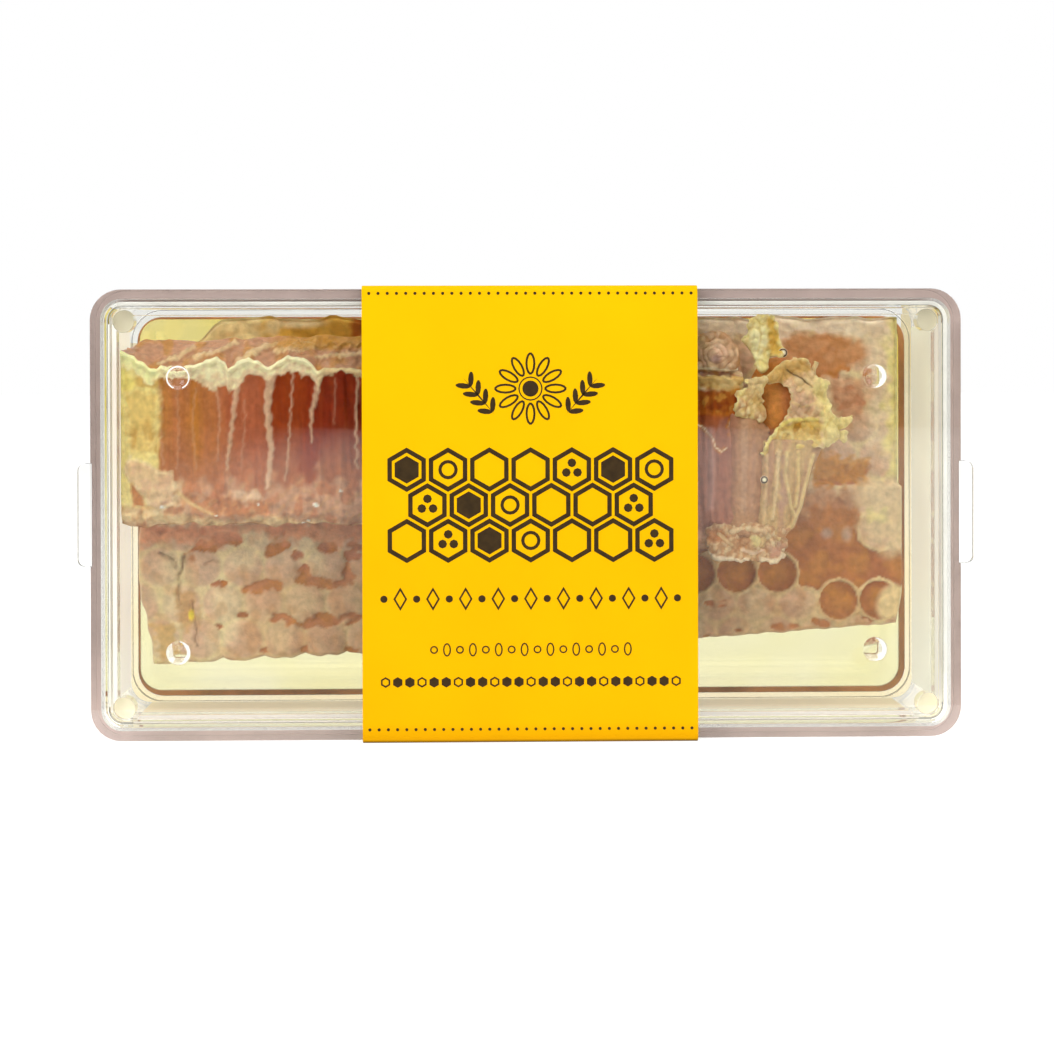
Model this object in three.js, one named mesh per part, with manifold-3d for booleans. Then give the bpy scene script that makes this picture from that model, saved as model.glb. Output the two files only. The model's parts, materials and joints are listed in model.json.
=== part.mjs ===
// Cut honeycomb in a clear two-part box that stands on its long narrow side, held shut by a
// card sleeve. Millimetres, +X across the box, -Y towards the front, +Z up, origin under the middle.

import * as THREE from 'three';
import { mergeVertices } from 'three/addons/utils/BufferGeometryUtils.js';
import Module from 'manifold-3d';

const wasm = await Module();
wasm.setup();

// ---- box ----
const boxWidth = 108;
const boxHeight = 55.8;
const boxDepth = 28;
const boxCorner = 3.8;
const wall = 1.15;
const plate = 1.2;
const edgeBevel = 0.4;
const fitGap = 0.3;
const lidDepth = 7.3;
const neckInset = 1.45;
const neckWall = 0.6;
const neckGapToLid = 0.4;
const shoulder = 1.2;
const ribInset = 2.35;
const ribWall = 0.8;
const ribHeight = 2.4;
const postRadius = 1.4;
const postInset = 3.9;
const tabHeight = 12.8;
const tabProud = 1.7;
const tabThick = 1.6;
const tabCorner = 0.9;
const dimpleRadius = 1.5;
const dimpleDepth = 0.6;
const dimpleSpreadX = 43.2;
const dimpleSpreadZ = 17;
const panelWidth = 103.7;
const panelHeight = 51;
const panelDrop = 0.35;
const panelCorner = 3.3;
const panelStep = 0.8;
const panelWall = 0.9;

// ---- sleeve ----
const cardThick = 0.3;
const cardGap = 0.15;
const sleeveWidth = 41.6;
const sleeveShift = 0.3;
const sleeveFold = 0.7;

// ---- comb: the slab behind, the strip that stands on edge before it, and the torn end ----
const cellPitch = 5.29;
const rowPitch = cellPitch * Math.sqrt(3) / 2;
const cellAtX = 40.4;
const cellAtZ = 16.4;
const slab = {
  left: -49.2, right: 48.5, top: 53, front: -2.6, backRound: 0.4,
  footLeft: 8.9, footRight: 13.1, footLobe: 0.45, lobesEnd: 30,
  cornerDrop: 3.2, cornerFrom: -43, cornerTo: -38, topWave: 0.3, topWaveSize: 5,
  ledge: 31, ledgeSoft: 0.8, ledgeSet: 1.4, tuck: 1.2, tuckSoft: 1,
  slant: 2.2, slantFrom: 9, slantTo: 22, endShare: 0.05, worn: 0.8, wear: 0.15, wearSize: 3
};
const cap = { rise: 0.5, wave: 0.25, waveSize: 4, sink: 1.7, rimShare: 0.12, rimProud: 0.2 };
const strip = {
  left: -50.7, right: 27.2, front: -11.7, back: -3.6, backRound: 0.8,
  footLeft: 26.9, footRight: 22.6, footFrom: -18, footTo: 24, footWave: 0.35, footWaveSize: 2.4,
  tubeRelief: 0.45, tubeFade: 0.12, frontWave: 0.25, frontWaveSize: 5,
  endSoft: 3, endLean: 0.12, cornerLean: 0.75, tear: 0.9, tearSize: 2.2
};
const lip = {
  high: 46.3, lobe: 0.9, lobeAt: 33, wave: 0.5, waveSize: 7, drop: 1.2, dropFrom: 18, dropTo: 26,
  tubesEnd: 2.6, noseDrop: 1.5, proud: 0.35, edgeDrop: 0.4, edgeProud: 0.1, round: 0.7,
  topRise: 4, fold: 0.45, folds: 5, foldTurn: 0.35
};
const tubes = {
  top: 37.6, bottom: 22.9, leftTop: 28.3, leftBottom: 27.7, rightTop: 37.4, rightBottom: 32.2,
  taper: 1.6, front: -12, flute: 0.4, flutes: 3.5, round: 1.6, lean: 1.2
};
const core = {
  bottom: 36.5, top: 47.5, left: 28.2, leftWave: 0.4, rightBottom: 38.6, rightTop: 33, rightWave: 0.8,
  front: -10.9, frontWave: 0.5, leftSet: 0.7, rightSet: 1.2, backSet: 0.8
};
const tornBack = strip.back - 0.6;
const flakeThick = 0.7;
const flakes = [
  {
    from: [28.7, -10.6, 51.4], to: [31.6, -10.9, 42.4],
    width: 4.6, bow: -0.5, jag: 0.5, seed: 11, lift: 0.6
  },
  {
    from: [31.2, -11.2, 47.2], to: [39.2, -10.2, 42.2],
    width: 4.4, bow: -0.4, jag: 0.7, seed: 23, lift: 0.5
  },
  {
    from: [28.6, -11.6, 37.2], to: [40.9, -10.2, 40.4],
    width: 5.2, bow: -0.5, jag: 0.6, seed: 37, lift: 0.8
  },
  {
    from: [34.2, -11.2, 43.6], to: [39.4, -10.9, 36.4],
    width: 5, bow: -0.3, jag: 0.5, seed: 41, lift: 0.4
  }
];

const frontY = -boxDepth / 2;
const backY = boxDepth / 2;
const boxBottom = cardThick + cardGap;
const middleZ = boxBottom + boxHeight / 2;
const seamY = frontY + lidDepth;
const plateBack = frontY + plate;
const floorFront = backY - panelStep - plate;
const panelFront = backY - plate;
const arcSteps = 6;
const bevelSteps = 1;
const roundSides = 14;
const ballSides = 11;
const past = 1;

const colours = {
  clear: { color: 0xf2f0ea, roughness: 0.06, metalness: 0 },
  card: { color: 0xffce01, roughness: 0.7, metalness: 0 },
  comb: { color: 0xc79a6b, roughness: 0.45, metalness: 0 },
  tubes: { color: 0xa9603c, roughness: 0.35, metalness: 0 },
  torn: { color: 0xd8c28a, roughness: 0.4, metalness: 0 }
};

// ---- small helpers ----

// Rises from 0 to 1 as value goes from one bound to the other, whichever is larger.
function smooth(from, to, value) {
  const t = THREE.MathUtils.clamp((value - from) / (to - from), 0, 1);
  return t * t * (3 - 2 * t);
}

function seeded(seed) {
  let state = seed;
  return () => {
    state = (state * 1664525 + 1013904223) % 4294967296;
    return state / 4294967296;
  };
}

// A slow, uneven wave in two directions, between about -1 and 1.
function ripple(x, z, size, seed) {
  const a = x / size;
  const b = z / size;
  return (Math.sin(2.1 * a + 1.3 * b + seed)
    + Math.sin(1.7 * b - 0.9 * a + 2.3 * seed)
    + Math.sin(3.7 * a - 2.9 * b + 1.7 * seed) * 0.6) / 2.6;
}

function bareGeometry(geometry) {
  const bare = geometry.index ? geometry.toNonIndexed() : geometry.clone();
  bare.deleteAttribute('normal');
  bare.deleteAttribute('uv');
  return mergeVertices(bare, 1e-4);
}

function solid(geometry) {
  const merged = bareGeometry(geometry);
  return new wasm.Manifold(new wasm.Mesh({
    numProp: 3,
    vertProperties: new Float32Array(merged.attributes.position.array),
    triVerts: new Uint32Array(merged.index.array)
  }));
}

function geometryOf(manifold) {
  const mesh = manifold.getMesh();
  const geometry = new THREE.BufferGeometry();
  geometry.setAttribute('position', new THREE.BufferAttribute(mesh.vertProperties, 3));
  geometry.setIndex(new THREE.BufferAttribute(mesh.triVerts, 1));
  geometry.computeVertexNormals();
  return geometry;
}

function joined(...solids) {
  return solids.reduce((sum, next) => sum.add(next));
}

function named(name, geometry, finish) {
  const mesh = new THREE.Mesh(geometry, new THREE.MeshStandardMaterial(finish));
  mesh.name = name;
  return mesh;
}

// ---- box pieces ----

function roundedOutline(width, height, radius) {
  const r = Math.max(radius, 0.2);
  const x = width / 2;
  const z = height / 2;
  const shape = new THREE.Shape();
  shape.moveTo(-x + r, -z);
  shape.lineTo(x - r, -z);
  shape.absarc(x - r, -z + r, r, -Math.PI / 2, 0, false);
  shape.lineTo(x, z - r);
  shape.absarc(x - r, z - r, r, 0, Math.PI / 2, false);
  shape.lineTo(-x + r, z);
  shape.absarc(-x + r, z - r, r, Math.PI / 2, Math.PI, false);
  shape.lineTo(-x, -z + r);
  shape.absarc(-x + r, -z + r, r, Math.PI, Math.PI * 1.5, false);
  return shape;
}

// A rounded block over the box's outline, drawn in by inset, between two depths.
function block(inset, fromY, toY, bevel = 0) {
  const shape = roundedOutline(boxWidth - 2 * inset, boxHeight - 2 * inset, boxCorner - inset);
  return extruded(shape, fromY, toY, bevel);
}

// An outline over X and Z about a middle height, carried from one depth to another.
function extruded(shape, fromY, toY, bevel = 0, atZ = middleZ) {
  const geometry = new THREE.ExtrudeGeometry(shape, {
    depth: toY - fromY - 2 * bevel,
    bevelEnabled: bevel > 0,
    bevelThickness: bevel,
    bevelSize: bevel,
    bevelOffset: -bevel,
    bevelSegments: bevelSteps,
    curveSegments: arcSteps
  });
  geometry.rotateX(Math.PI / 2);
  geometry.translate(0, toY - bevel, atZ);
  return solid(geometry);
}

function ring(insetOut, insetIn, fromY, toY) {
  return block(insetOut, fromY, toY).subtract(block(insetIn, fromY - past, toY + past));
}

function cornerPost(sideX, sideZ) {
  const height = ribHeight + plate / 2;
  const geometry = new THREE.CylinderGeometry(postRadius, postRadius, height, roundSides);
  const x = sideX * (boxWidth / 2 - postInset);
  const z = middleZ + sideZ * (boxHeight / 2 - postInset);
  geometry.translate(x, plateBack + ribHeight / 2 - plate / 4, z);
  return solid(geometry);
}

function fingerTab(side) {
  const shape = new THREE.Shape();
  const half = tabHeight / 2;
  const out = boxWidth / 2 + tabProud;
  const inside = boxWidth / 2 - wall / 2;
  shape.moveTo(side * inside, -half);
  shape.lineTo(side * (out - tabCorner), -half + tabCorner / 3);
  shape.lineTo(side * out, -half + tabCorner * 1.4);
  shape.lineTo(side * out, half - tabCorner * 1.4);
  shape.lineTo(side * (out - tabCorner), half - tabCorner / 3);
  shape.lineTo(side * inside, half);
  return extruded(shape, frontY + edgeBevel, frontY + edgeBevel + tabThick);
}

// The ball that sinks a small round dimple into the lid's front.
function dimpleBall(sideX, sideZ) {
  const radius = (dimpleRadius ** 2 + dimpleDepth ** 2) / (2 * dimpleDepth);
  const geometry = new THREE.SphereGeometry(radius, ballSides, ballSides);
  const y = frontY + dimpleDepth - radius;
  geometry.translate(sideX * dimpleSpreadX, y, middleZ + sideZ * dimpleSpreadZ);
  return solid(geometry);
}

function boxLid() {
  const shell = block(0, frontY, seamY, edgeBevel).subtract(block(wall, plateBack, seamY + past));
  const rib = ring(ribInset, ribInset + ribWall, plateBack - plate / 2, plateBack + ribHeight);
  let lid = joined(shell, rib, fingerTab(-1), fingerTab(1));
  for (const sideX of [-1, 1]) {
    for (const sideZ of [-1, 1]) {
      lid = lid.add(cornerPost(sideX, sideZ)).subtract(dimpleBall(sideX, sideZ));
    }
  }
  return named('box_lid', geometryOf(lid), colours.clear);
}

// A block over the outline of the floor's panel, grown on all sides.
function floorPanel(grow, fromY, toY) {
  const shape = roundedOutline(panelWidth + 2 * grow, panelHeight + 2 * grow, panelCorner + grow);
  return extruded(shape, fromY, toY, 0, middleZ - panelDrop);
}

function boxBase() {
  const start = seamY + fitGap;
  const rimY = plateBack + neckGapToLid;
  const outer = block(0, start, backY - panelStep, edgeBevel);
  const foot = floorPanel(panelWall, floorFront, backY);
  const neck = block(neckInset, rimY, start + shoulder);
  const innerNeck = block(neckInset + neckWall, rimY - past, start + shoulder);
  const innerWall = block(wall, start + shoulder, floorFront);
  const recess = floorPanel(0, floorFront - past, panelFront);
  const base = joined(outer, foot, neck)
    .subtract(innerNeck)
    .subtract(innerWall)
    .subtract(recess);
  return named('box_base', geometryOf(base), colours.clear);
}

// ---- card sleeve: one band of card folded round the box, seen along X ----

function cardSleeve() {
  const loop = (grow) => {
    const y = boxDepth / 2 + grow;
    const z = boxHeight / 2 + grow;
    const r = sleeveFold + grow;
    const outline = new THREE.Shape();
    outline.moveTo(-y + r, -z);
    outline.lineTo(y - r, -z);
    outline.absarc(y - r, -z + r, r, -Math.PI / 2, 0, false);
    outline.lineTo(y, z - r);
    outline.absarc(y - r, z - r, r, 0, Math.PI / 2, false);
    outline.lineTo(-y + r, z);
    outline.absarc(-y + r, z - r, r, Math.PI / 2, Math.PI, false);
    outline.lineTo(-y, -z + r);
    outline.absarc(-y + r, -z + r, r, Math.PI, Math.PI * 1.5, false);
    return outline;
  };
  const band = loop(cardGap + cardThick);
  band.holes.push(loop(cardGap));
  const geometry = new THREE.ExtrudeGeometry(band, {
    depth: sleeveWidth,
    bevelEnabled: false,
    curveSegments: 4
  });
  geometry.rotateX(Math.PI / 2);
  geometry.rotateZ(Math.PI / 2);
  geometry.translate(sleeveShift - sleeveWidth / 2, 0, middleZ);
  return named('card_sleeve', geometry, colours.card);
}

// ---- comb ----

// Joins rings of points, one for each station, into a closed body with a cap at each end.
function lofted(rings, capFaces) {
  const count = rings[0].length;
  const points = rings.flat();
  const faces = [];
  for (let i = 0; i + 1 < rings.length; i += 1) {
    for (let j = 0; j < count; j += 1) {
      const a = i * count + j;
      const b = i * count + (j + 1) % count;
      faces.push(a, b, b + count, a, b + count, a + count);
    }
  }
  const last = (rings.length - 1) * count;
  for (const [start, ring] of [[0, rings[0]], [last, rings[rings.length - 1]]]) {
    for (const [a, b, c] of capFaces(ring)) {
      faces.push(start + a, start + (start ? b : c), start + (start ? c : b));
    }
  }
  const geometry = new THREE.BufferGeometry();
  geometry.setAttribute('position', new THREE.Float32BufferAttribute(
    points.flatMap((p) => [p.x, p.y, p.z]), 3
  ));
  geometry.setIndex(faces);
  return outward(geometry);
}

// Cap faces for a ring that runs along a front and returns along a back of as many points.
function ladderCap(ring) {
  const faces = [];
  const last = ring.length - 1;
  for (let k = 0; k < ring.length / 2 - 1; k += 1) {
    faces.push([k, k + 1, last - k], [k + 1, last - k - 1, last - k]);
  }
  return faces;
}

// Cap faces for any other ring, flattened onto two of its axes.
function flatCap(across, up) {
  return (ring) => {
    const flat = ring.map((p) => new THREE.Vector2(p[across], p[up]));
    const faces = THREE.ShapeUtils.triangulateShape(flat, []);
    return THREE.ShapeUtils.area(flat) < 0 ? faces.map(([a, b, c]) => [a, c, b]) : faces;
  };
}

function signedVolume(geometry) {
  const at = (i) => new THREE.Vector3().fromBufferAttribute(geometry.attributes.position, i);
  let sum = 0;
  for (let i = 0; i < geometry.index.count; i += 3) {
    const [a, b, c] = [0, 1, 2].map((k) => at(geometry.index.getX(i + k)));
    sum += a.dot(b.cross(c)) / 6;
  }
  return sum;
}

function outward(geometry) {
  if (signedVolume(geometry) < 0) {
    const old = Array.from(geometry.index.array);
    const turned = [];
    for (let i = 0; i < old.length; i += 3) {
      turned.push(old[i], old[i + 2], old[i + 1]);
    }
    geometry.setIndex(turned);
  }
  geometry.computeVertexNormals();
  return geometry;
}

// The nearest cell of the comb: how far away its middle is, and which column and row it is.
function nearestCell(x, z) {
  let best = { away: Infinity };
  const guess = Math.round((z - cellAtZ) / rowPitch);
  for (let row = guess - 1; row <= guess + 1; row += 1) {
    const half = (row % 2 + 2) % 2 / 2;
    const column = Math.round((x - cellAtX) / cellPitch - half);
    const away = Math.hypot(
      x - cellAtX - (column + half) * cellPitch,
      z - cellAtZ - row * rowPitch
    );
    if (away < best.away) {
      best = { away, column, row };
    }
  }
  return best;
}

// Bare cells show at the lower right and here and there; the others are capped with wax.
function isBare({ column, row }) {
  if (row === 0) {
    return column === 0 || column === 1;
  }
  if (row === 1) {
    return column >= -5;
  }
  return row === 2 && column >= -2 && column <= 0;
}

function slabRelief(x, z) {
  const cell = nearestCell(x, z);
  const inside = Math.max(0, 1 - cell.away / (cellPitch / 2));
  if (isBare(cell)) {
    return inside > cap.rimShare ? cap.sink : -cap.rimProud;
  }
  return -cap.rise * Math.sqrt(inside) + cap.wave * ripple(x, z, cap.waveSize, 1.1);
}

function slabBottom(x) {
  const along = THREE.MathUtils.mapLinear(x, slab.left, slab.right, 0, 1);
  const lobes = slab.footLobe * Math.abs(Math.sin(Math.PI * (x - cellAtX) / cellPitch));
  const foot = THREE.MathUtils.lerp(slab.footLeft, slab.footRight, along);
  return foot + (1 - smooth(0, slab.lobesEnd, x)) * lobes;
}

function slabTopEdge(x) {
  const corner = slab.cornerDrop * (1 - smooth(slab.cornerFrom, slab.cornerTo, x));
  return slab.top - corner + slab.topWave * ripple(x, 0, slab.topWaveSize, 2.2);
}

// Heights of the slab's front points: a few up from its uneven bottom, then four for each row of
// cells, so that every cell has points at its middle and on its walls, and a few up to its top.
function slabLevels(bottom, top) {
  const step = rowPitch / 4;
  const levels = [];
  for (let z = cellAtZ - step; z < slab.top - 1.2 * rowPitch; z += step) {
    levels.push(z);
  }
  const feet = [0, 1, 2].map((k) => THREE.MathUtils.lerp(bottom, levels[0], k / 3));
  const heads = [1, 2, 3, 4].map((k) => THREE.MathUtils.lerp(levels.at(-1), top, k / 4));
  return [...feet, ...levels, ...heads];
}

// One slice of the slab: its relief in front, from the foot up, and its plain back.
function slabSlice(x) {
  const along = (x - slab.left) / (slab.right - slab.left);
  const bottom = slabBottom(x);
  const top = slabTopEdge(x);
  const atEnd = x === slab.left || x === slab.right;
  const back = panelFront - fitGap;
  const front = slabLevels(bottom, top).map((z) => {
    const low = smooth(slab.slantTo, slab.slantFrom, z);
    const slant = slab.slant * smooth(2 * slab.endShare, 0, along) * low;
    const above = smooth(slab.ledge - slab.tuckSoft, slab.ledge + slab.tuckSoft, z);
    const tuck = slab.tuck * smooth(1 - slab.endShare, 1, along) * above;
    const set = slab.ledgeSet * smooth(slab.ledge - slab.ledgeSoft, slab.ledge + slab.ledgeSoft, z);
    const worn = slab.worn + slab.wear * ripple(z, x, slab.wearSize, 2.7);
    const relief = atEnd || z === bottom || z === top ? worn : slabRelief(x, z);
    return new THREE.Vector3(x + slant - tuck, slab.front + set + relief, z);
  });
  return [
    ...front,
    new THREE.Vector3(x, back, top - slab.backRound),
    new THREE.Vector3(x, back, bottom + slab.backRound)
  ];
}

function combSlab() {
  const step = cellPitch / 4;
  const first = Math.ceil((slab.left - cellAtX) / step) - 1;
  const last = Math.floor((slab.right - cellAtX) / step) + 1;
  const rings = [];
  for (let i = first; i <= last; i += 1) {
    rings.push(slabSlice(THREE.MathUtils.clamp(cellAtX + i * step, slab.left, slab.right)));
  }
  return named('comb_slab', lofted(rings, flatCap('y', 'z')), colours.comb);
}

function stripBottom(x) {
  const foot = THREE.MathUtils.lerp(strip.footLeft, strip.footRight, smooth(strip.footFrom, strip.footTo, x));
  return foot + strip.footWave * ripple(x, 3, strip.footWaveSize, 0.7);
}

function lipHeight(x) {
  const lobe = lip.lobe * Math.abs(Math.sin(Math.PI * (x + lip.lobeAt) / cellPitch));
  const wave = lip.wave * ripple(x, 0, lip.waveSize, 4.1);
  return lip.high + lobe + wave - lip.drop * smooth(lip.dropFrom, lip.dropTo, x);
}

// One slice of the strip: cut tubes in front, the capped lip, its wrinkled top and a plain back.
function stripSlice(x) {
  const bottom = stripBottom(x);
  const edge = lipHeight(x);
  const tube = strip.tubeRelief * Math.abs(Math.sin(Math.PI * x / (cellPitch / 2)));
  const points = [];
  const steps = 5;
  for (let i = 0; i <= steps; i += 1) {
    const up = i / steps;
    const z = THREE.MathUtils.lerp(bottom, edge - lip.tubesEnd, up);
    const fade = Math.sin(Math.PI * THREE.MathUtils.lerp(strip.tubeFade, 1, up));
    const wave = strip.frontWave * ripple(x, z, strip.frontWaveSize, 3.3);
    points.push([strip.front + tube * fade + wave, z]);
  }
  const lipBack = strip.front + lip.round;
  const shoulder = edge - lip.edgeDrop;
  points.push([strip.front - lip.proud, edge - lip.noseDrop]);
  points.push([strip.front - lip.edgeProud, shoulder]);
  points.push([lipBack, edge]);
  const topSteps = 6;
  for (let i = 1; i <= topSteps; i += 1) {
    const back = i / topSteps;
    const y = THREE.MathUtils.lerp(lipBack, strip.back, back);
    const folds = Math.sin(back * Math.PI * lip.folds + x * lip.foldTurn) * Math.sin(Math.PI * back);
    points.push([y, shoulder + lip.topRise * back + lip.fold * folds]);
  }
  points.push([strip.back, (bottom + edge) / 2]);
  points.push([strip.back, bottom + strip.backRound]);
  return points;
}

function combStrip() {
  const slices = Math.round((strip.right - strip.left) / (cellPitch / 6));
  const rings = [];
  for (let i = 0; i <= slices; i += 1) {
    const x = THREE.MathUtils.lerp(strip.left, strip.right, i / slices);
    const atLeft = 1 - smooth(0, strip.endSoft, x - strip.left);
    const atRight = smooth(strip.endSoft, 0, strip.right - x);
    rings.push(stripSlice(x).map(([y, z]) => {
      const corner = strip.cornerLean * smooth(-8.8, -9.8, y);
      const lean = atLeft * (corner + strip.endLean * (1 + ripple(y, z, 2, 5)));
      const tear = atRight * (ripple(z, y, strip.tearSize, 6.4) - strip.tear);
      return new THREE.Vector3(x + lean + tear, y, z);
    }));
  }
  return named('comb_strip', lofted(rings, flatCap('y', 'z')), colours.tubes);
}

// A thin torn leaf of wax over a curved patch: both faces are split alike.
function leaf(middle, columns, rows) {
  const rings = [];
  for (let i = 0; i <= columns; i += 1) {
    const front = [];
    const back = [];
    for (let j = 0; j <= rows; j += 1) {
      const p = middle(i / columns, j / rows);
      front.push(new THREE.Vector3(p.x, p.y - flakeThick / 2, p.z));
      back.unshift(new THREE.Vector3(p.x, p.y + flakeThick / 2, p.z));
    }
    rings.push([...front, ...back]);
  }
  return rings;
}

function tornFlake({ from, to, width, bow, jag, seed, lift }) {
  const random = seeded(seed);
  const columns = 11;
  const rows = 4;
  const teeth = Array.from({ length: columns + 1 }, () => 1 + jag * (random() - 0.5));
  const start = new THREE.Vector3(...from);
  const end = new THREE.Vector3(...to);
  const across = new THREE.Vector3(-(end.z - start.z), 0, end.x - start.x).normalize();
  const rings = leaf((u, v) => {
    const spread = width * Math.sin(Math.PI * (0.12 + 0.8 * u)) * teeth[Math.round(u * columns)];
    const p = start.clone().lerp(end, u).addScaledVector(across, spread * (v - 0.5));
    p.y += bow * Math.sin(Math.PI * u) + lift * (v - 0.5) + 0.35 * ripple(p.x, p.z, 2.2, seed);
    return p;
  }, columns, rows);
  return solid(lofted(rings, ladderCap));
}

// The torn tubes lean to the left as they go down; their front is fluted by the cell walls.
function tornTubes() {
  const rings = [];
  const levels = 8;
  const around = 21;
  for (let i = 0; i <= levels; i += 1) {
    const down = i / levels;
    const z = THREE.MathUtils.lerp(tubes.top, tubes.bottom, down);
    const left = THREE.MathUtils.lerp(tubes.leftTop, tubes.leftBottom, down);
    const right = THREE.MathUtils.lerp(tubes.rightTop, tubes.rightBottom, down ** tubes.taper);
    const points = [];
    for (let j = 0; j <= around; j += 1) {
      const across = j / around;
      const flute = tubes.flute * Math.abs(Math.sin(Math.PI * tubes.flutes * across));
      const round = tubes.round * (2 * across - 1) ** 4;
      const y = tubes.front + round + flute + tubes.lean * down * down;
      points.push(new THREE.Vector3(THREE.MathUtils.lerp(left, right, across), y, z));
    }
    points.push(new THREE.Vector3(right, tornBack, z));
    points.push(new THREE.Vector3(left, tornBack, z));
    rings.push(points);
  }
  return solid(lofted(rings, flatCap('x', 'y')));
}

// The ragged mass of wax that the flakes hang on.
function tornCore() {
  const rings = [];
  const levels = 8;
  for (let i = 0; i <= levels; i += 1) {
    const up = i / levels;
    const z = THREE.MathUtils.lerp(core.bottom, core.top, up);
    const left = core.left + core.leftWave * ripple(z, 0, 2, 1.9);
    const straight = THREE.MathUtils.lerp(core.rightBottom, core.rightTop, up);
    const right = straight + core.rightWave * ripple(z, 5, 1.6, 0.4);
    const front = core.front + core.frontWave * ripple(z, 9, 2, 2.6);
    rings.push([
      new THREE.Vector3(left, front + core.leftSet, z),
      new THREE.Vector3((left + right) / 2, front, z),
      new THREE.Vector3(right, front + core.rightSet, z),
      new THREE.Vector3(right - core.backSet, tornBack, z),
      new THREE.Vector3(left, tornBack, z)
    ]);
  }
  return solid(lofted(rings, flatCap('x', 'y')));
}

function tornComb() {
  const body = joined(tornTubes(), tornCore(), ...flakes.map(tornFlake));
  return named('torn_comb', geometryOf(body), colours.torn);
}

const pack = new THREE.Group();
pack.add(boxLid(), boxBase(), cardSleeve(), combSlab(), combStrip(), tornComb());

export default pack;
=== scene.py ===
"""Cut honeycomb in a clear two-part box with a card sleeve: its looks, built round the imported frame."""

import json
import math

import bmesh
import bpy
import numpy as np
from bpy.props import FloatProperty, FloatVectorProperty, IntProperty, PointerProperty
from mathutils import Matrix, Vector

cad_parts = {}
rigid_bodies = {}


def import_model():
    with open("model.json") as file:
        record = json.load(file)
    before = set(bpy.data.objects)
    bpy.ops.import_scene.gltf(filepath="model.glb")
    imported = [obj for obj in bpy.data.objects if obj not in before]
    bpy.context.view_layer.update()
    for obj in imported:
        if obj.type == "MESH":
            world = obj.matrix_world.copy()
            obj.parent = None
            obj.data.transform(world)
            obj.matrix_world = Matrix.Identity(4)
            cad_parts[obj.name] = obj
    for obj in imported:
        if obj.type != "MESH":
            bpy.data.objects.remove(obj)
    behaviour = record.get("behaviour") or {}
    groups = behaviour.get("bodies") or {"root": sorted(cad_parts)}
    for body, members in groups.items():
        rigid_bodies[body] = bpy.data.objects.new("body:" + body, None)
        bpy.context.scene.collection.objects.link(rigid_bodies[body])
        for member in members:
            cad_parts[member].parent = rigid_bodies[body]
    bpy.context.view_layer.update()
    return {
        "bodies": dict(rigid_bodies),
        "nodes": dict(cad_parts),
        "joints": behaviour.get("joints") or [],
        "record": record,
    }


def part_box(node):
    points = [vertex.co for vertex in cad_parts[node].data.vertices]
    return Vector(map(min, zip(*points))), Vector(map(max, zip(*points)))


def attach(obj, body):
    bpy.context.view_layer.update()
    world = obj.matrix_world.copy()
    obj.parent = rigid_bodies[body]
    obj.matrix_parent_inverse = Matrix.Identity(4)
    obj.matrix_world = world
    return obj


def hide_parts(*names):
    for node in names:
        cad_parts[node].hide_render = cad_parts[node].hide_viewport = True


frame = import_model()

bl_info = {
    "name": "Packed honeycomb",
    "version": (1, 0, 0),
    "blender": (4, 5, 0),
    "location": "3D View > Sidebar > Honeycomb",
    "description": "Builds a cut honeycomb in its clear box and card sleeve around the packed frame",
    "category": "Add Mesh",
}

MM = 0.001
LID = [c / MM for c in (*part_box("box_lid")[0], *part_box("box_lid")[1])]
BASE = [c / MM for c in (*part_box("box_base")[0], *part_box("box_base")[1])]
SLEEVE = [c / MM for c in (*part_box("card_sleeve")[0], *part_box("card_sleeve")[1])]
SLAB = [c / MM for c in (*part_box("comb_slab")[0], *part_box("comb_slab")[1])]
STRIP = [c / MM for c in (*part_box("comb_strip")[0], *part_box("comb_strip")[1])]
MIDDLE_Z = (BASE[2] + BASE[5]) / 2


# ---- settings ----

def length(name, description, default):
    """A length in millimetres."""
    return FloatProperty(name=name, description=description, default=default)


def angle(name, description, degrees):
    """An angle, given in degrees."""
    return FloatProperty(
        name=name, description=description, default=math.radians(degrees), subtype="ANGLE"
    )


def colour(name, description, code):
    """A colour that a user sees and changes as sRGB."""
    return FloatVectorProperty(
        name=name, description=description, subtype="COLOR_GAMMA", size=3, min=0, max=1, default=srgb(code)
    )


def srgb(code):
    """The three parts of a colour such as #ffce01, from 0 to 1."""
    return tuple(int(code[i:i + 2], 16) / 255 for i in (1, 3, 5))


def linear(code_or_parts):
    """An sRGB colour, as a hex code or three parts, turned to the linear values that shaders use."""
    parts = srgb(code_or_parts) if isinstance(code_or_parts, str) else tuple(code_or_parts)
    return (*(c / 12.92 if c <= 0.04045 else ((c + 0.055) / 1.055) ** 2.4 for c in parts), 1.0)


class BoxSizes(bpy.types.PropertyGroup):
    """Sizes of the clear box, in millimetres."""

    wall: length("Wall", "Thickness of the outer walls", 1.15)
    plate: length("Plate", "Thickness of the lid's front and of the base's floor", 1.2)
    corner: length("Corner", "Radius of the box's four long corners", 3.8)
    tab_proud: length("Tab", "How far a finger tab stands out", 1.7)
    neck_inset: length("Neck inset", "How far in from the outside the base's neck starts", 1.45)
    neck_wall: length("Neck wall", "Thickness of the base's neck", 0.6)
    rib_inset: length("Rib inset", "How far in from the outside the lid's rib starts", 2.35)
    rib_wall: length("Rib wall", "Thickness of the lid's rib", 0.8)
    rib_height: length("Rib height", "How far the lid's rib stands into the box", 2.4)
    panel_step: length("Panel step", "How far the floor's panel is pushed out", 0.8)
    corner_steps: IntProperty(name="Corner steps", description="Faces round each corner", default=10)
    plastic: colour("Plastic", "Colour of the clear plastic", "#fdfdfa")


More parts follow.
